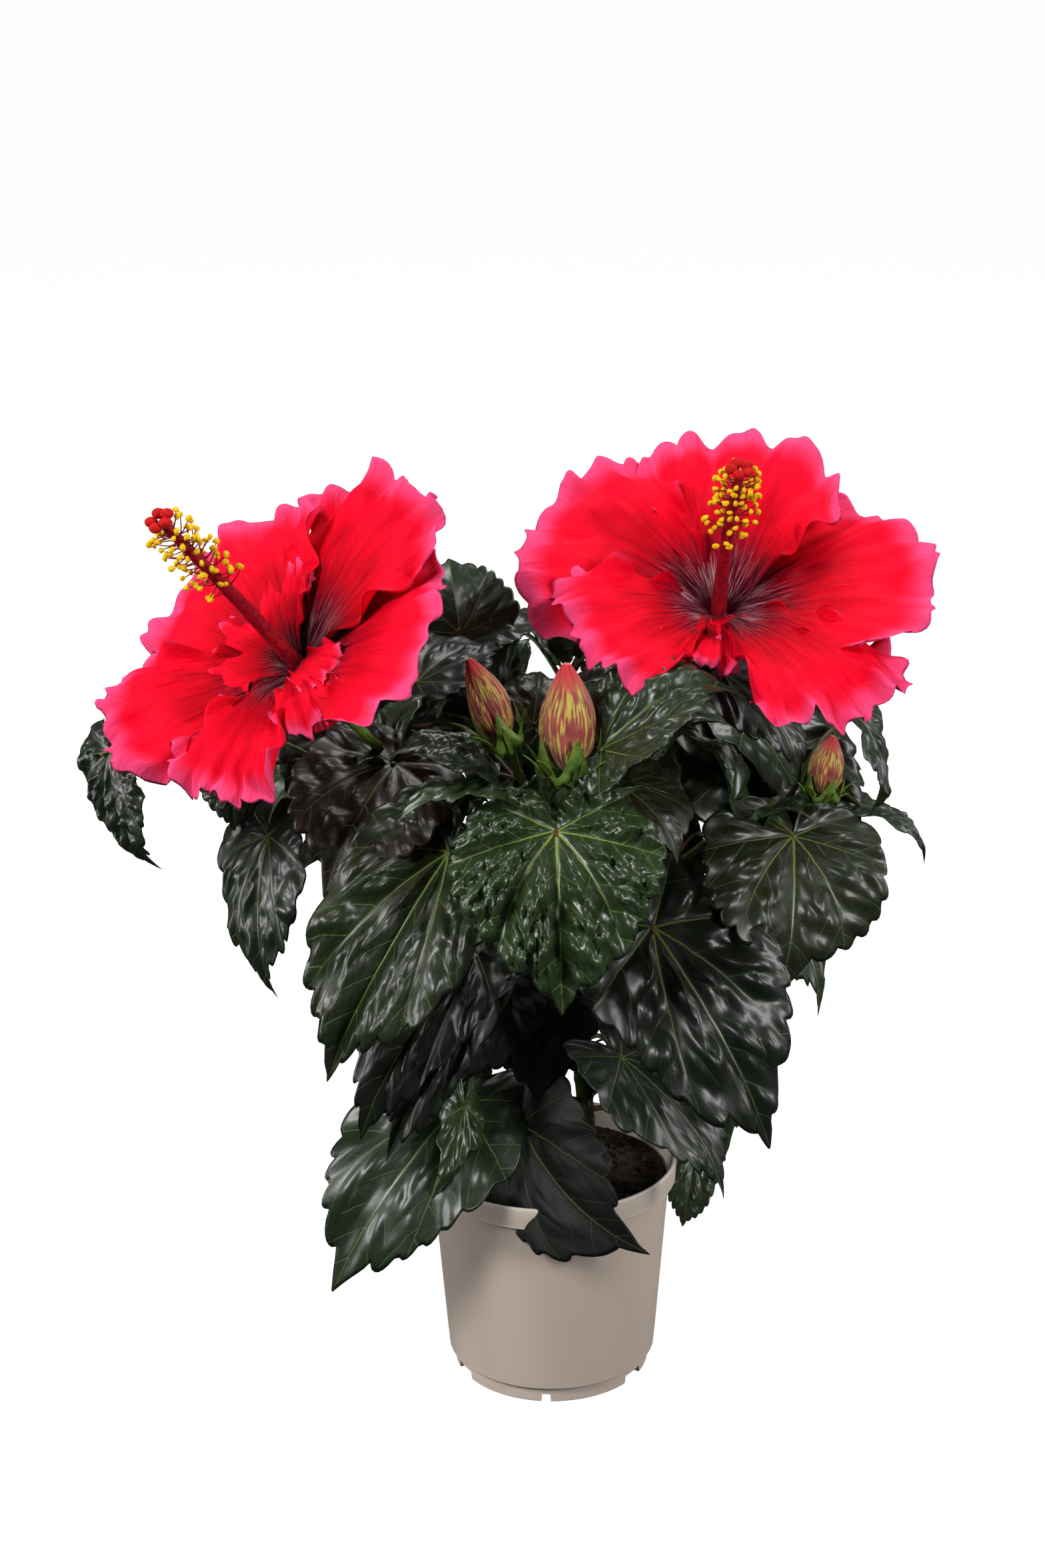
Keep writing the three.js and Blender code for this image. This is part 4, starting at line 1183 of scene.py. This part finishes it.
def petal_middle(spec, petal, seed, grid, ruffle):
    """The middle of a petal. Across: an angle about the petal's own line. Out: the slope starts at the
    opening angle and changes evenly to the fall, so height and run are integrals of sine and cosine.
    Ruffles grow with the cube of the way out and are greatest at the sides and the lip."""
    turn, length, half, opening, fall = petal
    centre, out, u, v = bloom_frame(spec)
    a, start = math.radians(turn), math.radians(opening)
    radial, sideways = around(a, u, v), around(a, v, -u)
    change = -math.radians(fall) - start
    s, t = np.meshgrid(np.linspace(PETAL_START, 1, grid[0]), np.linspace(-1, 1, grid[1]), indexing="ij")
    p, q, w, z = np.random.default_rng(seed).uniform(0, 6, 4)
    lobes = 0.05 * np.abs(np.sin(4.5 * t + q)) ** 0.6 + 0.028 * np.abs(np.sin(11 * t + w)) ** 0.7
    lobes = lobes + 0.012 * np.sin(37 * t + z)
    lip = 1 + (0.03 * np.sin(3 * t + p) + lobes - 0.04) * s ** 2
    r = s * (1 - 0.2 * np.abs(t) ** 3.5) * lip
    side_frill = 1 + 0.05 * np.sin(14 * s + p) * s + 0.03 * np.sin(31 * s + q) * s
    phi = math.radians(half) * t * (1 + (side_frill - 1) * np.abs(t) ** 3) * (1 + 0.3 * np.exp(-s / 0.3))
    x, y = r * np.cos(phi), r * np.sin(phi)
    rise = (np.cos(start) - np.cos(start + change * x)) / change
    run = (np.sin(start + change * x) - np.sin(start)) / change
    edge = np.maximum(s ** 4, 0.75 * np.abs(t) ** 6 * s)
    flat = np.stack([x, y, 0 * x + seed], -1)
    ruffles = 0.6 * np.sin(7 * t + 3 * s + q) + 0.5 * np.sin(15 * t + w + 4 * s)
    ruffles = ruffles + 0.28 * np.sin(29 * t + z) + 0.5 * ripple(flat, 0.22, seed)
    lines = np.stack([s * 0.4, 3 * t, 0 * s], -1)
    furrow = 0.006 * ripple(lines, 0.5, seed + 5) * np.clip(s * 2, 0, 1)
    pinch = 0.07 * np.abs(t) ** 9 * (0.7 + np.sin(17 * s + q)) * np.clip(s * 3 - 0.4, 0, 1)
    relief = ruffle * edge * ruffles + 0.011 * ripple(flat, 0.3, seed + 1) + furrow + pinch
    height = rise + PETAL_TILT * y + relief - 0.04 * t ** 2 * s
    blade = run[..., None] * radial + y[..., None] * sideways + height[..., None] * out
    return centre + length * blade


print("petal grid:", PETAL_GRID)

# %% [markdown]
# ## The petals' finish
# The dark throat runs out along the petal in streaks. Noise that is stretched along the petal moves
# the place where one colour ends and the next begins, which gives streaks without drawing them.


# %% The petals' finish
def petal_finish():
    """Silky red with a dark throat that runs out in streaks, pale painted sheen streaks on the throat,
    fine darker veins, and a pink frilled lip.
    The map's first coordinate runs out from the throat and the second across, both from 0 to 1."""
    finish = Finish("petal", IOR=1.4, Specular_IOR_Level=0.05)
    flat, s, t = finish.pair("petal")
    side = absolute(t * 2 - 1)
    stretched = finish.vector(s * 1.6, t * 16)
    fine = finish.vector(s * 5, t * 70)
    streak, thread = finish.noise(stretched, 1.5, 3), finish.noise(fine, 1.4, 3)
    cloud = finish.noise(flat, 5, 3)
    reach = s + (streak - 0.5) * 0.55 + (thread - 0.5) * 0.2 + side * side * 0.05
    throat = 1 - reach.between(0.25, 0.8)
    deep = 1 - reach.between(0.16, 0.5)
    border = larger(s + (cloud - 0.5) * 0.12, side * 0.9 * s.between(0.2, 0.75) + (cloud - 0.5) * 0.1)
    pink = border.between(0.84, 1.01)
    colour = finish.mix(cloud.between(0.3, 0.7), tone(0.72, 0.001, 0.008), tone(0.86, 0.002, 0.013))
    colour = finish.mix(s.between(0.4, 0.9) * 0.5, colour, tone(0.88, 0.006, 0.045))
    colour = finish.mix(pink * 0.8, colour, tone(0.86, 0.09, 0.27))
    colour = finish.mix(thread.between(0.52, 0.66) * 0.22, colour, tone(0.45, 0.002, 0.012))
    colour = finish.mix(throat * 0.85, colour, tone(0.24, 0.0005, 0.009))
    colour = finish.mix(deep, colour, tone(0.06, 0.0006, 0.009))
    # painted sheen: pale pinkish-grey highlight streaks mixed into the dark throat's colour
    shine = deep * thread.between(0.52, 0.6) * streak.between(0.4, 0.55) * s.between(0.08, 0.16)
    colour = finish.mix(shine * 0.75, colour, tone(0.62, 0.38, 0.42))
    relief = thread * 0.6 + streak * 0.5
    return finish.feed(Base_Color=colour, Roughness=0.58 - deep * 0.1,
                       Coat_Weight=deep * 0.04, Normal=finish.bump(relief, 0.0009, 0.8))


PETAL = petal_finish()


def make_petals(side):
    spec = BLOOMS[side]
    bloom = Piece(f"petals_{side}")
    rows = [(row, PETAL_GRID, PETAL_RUFFLE, 1) for row in spec["petals"]]
    rows += [(row, FRILL_GRID, FRILL_RUFFLE, 1) for row in spec["frills"]]
    rows.append((FUNNEL, FRILL_GRID, FUNNEL_RUFFLE, FUNNEL_LIP))
    low, high = (PETAL_START, 0), (1, 1)
    for i, (row, grid, ruffle, lip) in enumerate(rows):
        middle = petal_middle(spec, row, 70 + 13 * i + len(side), grid, ruffle)
        points, faces = slab(middle, PETAL_THICKNESS)
        flats = slab_corners(*grid, low, (lip, 1))
        cells = [sheet_cell(flat, 2 * i + k, 2 * len(rows), low, high) for k, flat in enumerate(flats)]
        bloom.add(points, faces, {"petal": np.concatenate(flats), "OFBake": np.concatenate(cells)})
    bloom.finish(PETAL, "petals", f"bloom_{side}")


for side in BLOOMS:
    make_petals(side)

# %% [markdown]
# ## Columns, anthers and stigmas
# From each throat stands a tube of fused stamens. Its outer part is a brush of thin filaments, each
# with a yellow anther, and five velvet pads end it. The anthers are small kidney shapes of few faces,
# because there are so many of them.

# %% Columns
def grainy_finish(name, specular, grain, steps, dark, light, dullness, relief):
    """Two tones mixed by a fine grain, which also varies the gloss and raises the surface."""
    finish = Finish(name, Specular_IOR_Level=specular)
    grain = finish.noise(finish.place(), *grain)
    colour = finish.mix(grain.between(*steps), dark, light)
    bump = finish.bump(grain, *relief)
    return finish.feed(Base_Color=colour, Roughness=grain * 0.2 + dullness, Normal=bump)


COLUMN = grainy_finish("staminal column", 0.3, (500, 3), (0.35, 0.65),
                       tone(0.17, 0.002, 0.010), tone(0.34, 0.004, 0.014), 0.38, (0.0003, 0.6))
ANTHER = grainy_finish("anthers", 0.2, (1400, 3), (0.35, 0.62),
                       tone(0.80, 0.42, 0.002), tone(0.92, 0.62, 0.006), 0.6, (0.0004, 1))
STIGMA = grainy_finish("velvet stigma", 0.15, (1500, 2), (0.3, 0.7),
                       tone(0.33, 0.002, 0.004), tone(0.72, 0.012, 0.012), 0.7, (0.0006, 1))
print("three finishes for a column: its rod, its anthers, its stigmas")

# %% [markdown]
# ## The brush of anthers
# The column is a tapering tube. Thin filaments leave its outer half, each with a kidney-shaped anther
# at its end, and the golden angle spreads them evenly without rows. Five stigmas end the column.

# %% The brush of anthers
ANTHERS = 88
STIGMAS = 5
COLUMN_SIDES = 16


def kidney(centre, along, radius, seed):
    """An anther: a small ball stretched and bent round its filament's end."""
    points, faces = ball((0, 0, 0), 1, 5, 7, (1.25, 0.85, 0.8))
    points[:, 2] -= 0.35 * points[:, 0] ** 2
    rng = np.random.default_rng(seed)
    across = unit(np.cross(along, rng.normal(size=3)))
    basis = np.stack([across, np.cross(along, across), along])
    return np.asarray(centre) + radius * points @ basis, faces


def make_column(side):
    """The brush: filaments leave the outer half of the column by the golden angle, each leaning
    forwards by a chance amount and shorter towards the end."""
    spec = BLOOMS[side]
    centre, out, u, v = bloom_frame(spec)
    rng = np.random.default_rng(31 + len(side))
    length = spec["column"]
    bend = (u * 0.02 + v * 0.012) * length
    share = np.linspace(0, 1, 60)
    path = centre + np.outer(share * length * 0.955 - 4 * (1 - share), out)
    path = path + np.outer(np.sin(share * np.pi), bend)
    turn = np.arange(COLUMN_SIDES)
    skin = np.stack(np.broadcast_arrays(share[:, None] * 40, np.cos(turn), np.sin(turn)), -1)
    radius = (3.7 - 1.7 * share)[:, None] + 0.1 * ripple(skin, 2.4, 8)
    rod, heads, pads = Piece(f"column_rod_{side}"), Piece(f"anthers_{side}"), Piece(f"stigmas_{side}")
    rod.add(*tube(path, radius, COLUMN_SIDES))
    for k in range(ANTHERS):
        where = 0.56 + 0.42 * (k / ANTHERS) ** 0.75
        away = around(math.radians(GOLDEN_ANGLE * k) + rng.uniform(-0.3, 0.3), u, v)
        start = path[int(where * 59)]
        reach = rng.uniform(7, 13) * (1 - 0.5 * (where - 0.56))
        end = start + away * reach + out * reach * rng.uniform(0.15, 0.8) - (0, 0, 0.06 * reach)
        middle = (start + end) / 2 - out * reach * 0.1
        line = smooth_path([start, middle, end], 6)
        rod.add(*tube(line, np.linspace(0.34, 0.2, 6), 5))
        heads.add(*kidney(end, unit(end - middle), rng.uniform(1.15, 1.55), k))
    for k in range(STIGMAS):
        away = around(2 * math.pi * (k + 0.3) / STIGMAS, u, v)
        end = path[-1] + away * 3.3 + out * 2.6
        branch = smooth_path([path[-1] - out * 2, path[-1] + away * 1.2 + out * 1.2, end], 8)
        rod.add(*tube(branch, 0.55, 8))
        pads.add(*ball(end + out * 0.9 + away * 0.5, 2.7, 14, 20, (1, 1, 0.8), 0.02, k + 3))
    rod.finish(COLUMN, "column", f"column_{side}")
    heads.finish(ANTHER, "column")
    pads.finish(STIGMA, "column")


for side in BLOOMS:
    make_column(side)

# %% [markdown]
# ## Calyx and bracts
# Behind every bloom and round every bud is a green cup cut into five points, with a ring of narrow
# bracts below it. The cup is one closed skin, inside and outside, whose height rises and falls five
# times round. A bract is a narrow slab bent outwards.

# %% Calyx
def calyx_finish():
    finish = Finish("calyx", IOR=1.45)
    place = finish.place()
    cloud, fine = finish.noise(place, 120, 3), finish.noise(place, 700, 2)
    colour = finish.mix(cloud.between(0.3, 0.7), tone(0.055, 0.115, 0.012), tone(0.14, 0.235, 0.03))
    colour = finish.mix(fine.between(0.55, 0.7) * 0.35, colour, tone(0.25, 0.33, 0.07))
    relief = finish.bump(fine + cloud, 0.0005, 0.7)
    return finish.feed(Base_Color=colour, Roughness=fine * 0.2 + 0.36, Normal=relief)


CALYX = calyx_finish()
CUP_THICKNESS = 0.7
BRACT_THICKNESS = 0.7
print("a calyx wall is", CUP_THICKNESS, "mm thick")

# %% [markdown]
# ## A cup with five tips
# The calyx is one closed wall: an outside skin, an inside skin drawn in by the wall's thickness, and a
# rim that both share. A wave round the rim gives the five tips, so nothing has to be cut.


# %% A cup with five tips
def axis_frame(axis):
    out = unit(axis)
    u = unit(np.cross(out, (0.3, 1, 0.2)))
    return out, u, np.cross(out, u)


def cup(foot, axis, radius, height, point, flare=0.0, turn=0.0):
    """Radius: a rounded bowl that flares by the square of the height. The rim is height, plus point
    at the five tips. The inside skin is the outside one drawn in."""
    out, u, v = axis_frame(axis)
    rows, columns = 22, 120
    angle = np.linspace(0, 2 * np.pi, columns, endpoint=False)
    tip = (1 - np.abs(np.sin(2.5 * (angle + turn)))) ** 0.85
    rim = height + point * tip
    share = np.linspace(0, 1, rows)[:, None]
    level = share * rim
    ribs = 1 + 0.05 * np.cos(10 * (angle + turn)) * share
    bowl = radius * np.sin(np.clip(share * 1.3 + 0.16, 0, 1) * np.pi / 2) * ribs
    bowl = bowl + flare * (level / (height + point)) ** 2
    skins = []
    for inward in (0, CUP_THICKNESS):
        r = bowl - inward * (1 - share ** 8)
        skins.append(np.asarray(foot) + level[..., None] * out + inward * (1 - share[..., None]) * out
                     + r[..., None] * (np.cos(angle)[:, None] * u + np.sin(angle)[:, None] * v))
    outside = np.arange(rows * columns).reshape(rows, columns)
    inside = outside + rows * columns
    inside[-1] = outside[-1]
    ends = [foot, np.asarray(foot) + CUP_THICKNESS * out]
    points = np.concatenate([skins[0].reshape(-1, 3), skins[1][:-1].reshape(-1, 3), ends])
    faces = [disc(outside, len(points) - 2)[:, ::-1], disc(inside, len(points) - 1)]
    return points, np.concatenate(faces)


print("a cup has", len(cup((0, 0, 0), (0, 0, 1), 6, 12, 10)[0]), "points")

# %% [markdown]
# ## A ring of bracts
# Narrow green bracts stand under the calyx. Each one leaves the stalk outwards and curls in its own
# way, by chance numbers from a fixed seed, so the ring is uneven but the same in every render.


# %% A ring of bracts
def bract(foot, axis, angle, radius, length, width, spread, curl):
    """A narrow blade: it leaves the axis outwards, runs along it and curls by the cube of the way up."""
    out, u, v = axis_frame(axis)
    away, side = around(angle, u, v), around(angle, v, -u)
    s, t = np.meshgrid(np.linspace(0, 1, 20), np.linspace(-1, 1, 9), indexing="ij")
    half = width / 2 * (np.sin(np.clip(s * 0.9 + 0.1, 0, 1) * np.pi) ** 0.7 + 0.04)
    reach = radius * 0.75 + spread * s + curl * s ** 3
    lift = length * (s - 0.22 * curl / length * s ** 3) - 0.25 * half * t ** 2
    middle = (np.asarray(foot) + reach[..., None] * away + lift[..., None] * out
              + (half * t)[..., None] * side + (0.35 * half * t ** 2)[..., None] * away)
    return slab(middle, BRACT_THICKNESS)


def bract_ring(piece, foot, axis, radius, length, width, spread, curl, seed, count=7):
    rng = np.random.default_rng(seed)
    for k in range(count):
        a = 2 * math.pi * (k + rng.uniform(-0.15, 0.15)) / count
        grown, bent = rng.uniform(0.85, 1.15), curl * rng.uniform(0.6, 1.3)
        piece.add(*bract(foot, axis, a, radius, length * grown, width, spread * grown, bent))


print("a bract is", BRACT_THICKNESS, "mm thick")

# %% [markdown]
# ## Behind the blooms
# From the side and from behind, a bloom sits in its calyx at the end of a green stalk, and the stalk
# grows out of the bough that the CAD gives it.


# %% Behind the blooms
def make_bloom_back(side):
    """The calyx behind the petals, its ring of bracts and the flower stalk."""
    centre, out = bloom_frame(BLOOMS[side])[:2]
    green = Piece(f"calyx_{side}")
    foot = centre - out * 24
    green.add(*cup(foot, out, 6.5, 13, 11, 4.0))
    bract_ring(green, foot, out, 5.5, 12, 2.6, 5, 3, 4 + len(side))
    start = nearest_limb(centre - out * 60)
    end = LIMBS[f"bough_bloom_{side}"][0][-1]
    path = smooth_path([start, end, foot + out * 1.5], 24)
    green.add(*tube(path, np.linspace(2.1, 2.6, 24), 12))
    green.finish(CALYX, "green_stem")


for side in BLOOMS:
    make_bloom_back(side)

# %% [markdown]
# ## Buds
# A bud shows its petals furled round one another like an umbrella. It is a turned spindle whose radius
# carries five overlapping steps that wind round it, and its veins run along it in yellow and red.

# %% Buds
BUDS = {  # foot of the calyx, tip, and greatest radius
    "middle": ((8, -75, 318), (7, -80, 372), 13.5),
    "left": ((-17, -70, 331), (-34, -70, 372), 9.8),
    "right": ((122, -20, 291), (127, -22, 322), 9),
}


def bud_finish():
    """Dull rose with raised yellow-green veins along the petals, redder and smoother at the tip."""
    finish = Finish("bud petals", Sheen_Weight=0.25)
    flat, s, t = finish.pair("bud")
    stretched = finish.vector(s * 2.2, t * 30)
    vein, cloud = finish.noise(stretched, 1.6, 3), finish.noise(flat, 6, 3)
    line = vein.between(0.5, 0.56)
    colour = finish.mix(cloud.between(0.3, 0.7), tone(0.27, 0.03, 0.03), tone(0.42, 0.08, 0.06))
    colour = finish.mix(line * (1 - s.between(0.75, 0.98)) * 0.95, colour, tone(0.56, 0.46, 0.06))
    colour = finish.mix(s.between(0.72, 0.98), colour, tone(0.66, 0.012, 0.02))
    relief = finish.bump(vein, 0.0014, 0.9)
    return finish.feed(Base_Color=colour, Roughness=cloud * 0.2 + 0.5, Normal=relief)


BUD = bud_finish()


def make_bud(name):
    foot, tip, radius = BUDS[name]
    foot, tip = np.asarray(foot, float), np.asarray(tip, float)
    length = np.linalg.norm(tip - foot)
    out, u, v = axis_frame(tip - foot)
    rows, columns = 90, 160
    s, t = np.linspace(0, 1, rows)[:, None], np.linspace(0, 1, columns + 1)[None, :]
    angle = 2 * np.pi * t
    body = radius * (np.sin(np.pi * np.clip(s * 0.93 + 0.035, 0, 1)) ** 0.75) * (1.06 - 0.42 * s)
    beat = fraction(5 * t + 1.3 * s + 0.02 * np.sin(9 * s))
    fold = (beat ** 0.6 * (1 - beat ** 12) - 0.5) * (0.17 + 0.3 * s ** 10) * np.clip(s * 4, 0, 1)
    vein = 0.018 * np.sin(angle * 28 + 9 * s)
    r = body * (1 + fold + vein * (1 - s ** 3))
    level = length * (s * 0.9 + 0.1)
    ring = np.cos(angle)[..., None] * u + np.sin(angle)[..., None] * v
    points = foot + level[..., None] * out + r[..., None] * ring
    ends = np.stack([points[0, :-1].mean(0), points[-1, :-1].mean(0)])
    grid = np.stack(np.broadcast_arrays(s, t), -1).reshape(-1, 2)
    plain = grid_triangles(np.arange(rows * (columns + 1)).reshape(rows, columns + 1))
    caps = np.stack([np.stack([[k, 0.5], [k, 0.5], [k, 0.5]]) for k in (0, 1)]).repeat(columns, 0)
    petals = Piece(f"bud_petals_{name}")
    petals.add(np.concatenate([points[:, :-1].reshape(-1, 3), ends]), shell(rows, columns),
               {"bud": np.concatenate([grid[plain], caps])[:, ::-1]})
    petals.finish(BUD, "bud", f"bud_{name}")
    green = Piece(f"bud_calyx_{name}")
    green.add(*cup(foot, out, radius * 1.04, length * 0.15, length * 0.34, -radius * 0.06, 0.4))
    bract_ring(green, foot - out * 0.5, out, radius * 0.8, length * 0.36, radius * 0.2,
               radius * 0.7, radius * 0.5, 20, 9)
    near = nearest_limb(foot)
    green.add(*tube(smooth_path([near, (near + foot) / 2 + (0, 0, 0.5), foot + out * 1.5], 10), 1.7, 10))
    green.finish(CALYX, "bud")


for name in BUDS:
    make_bud(name)
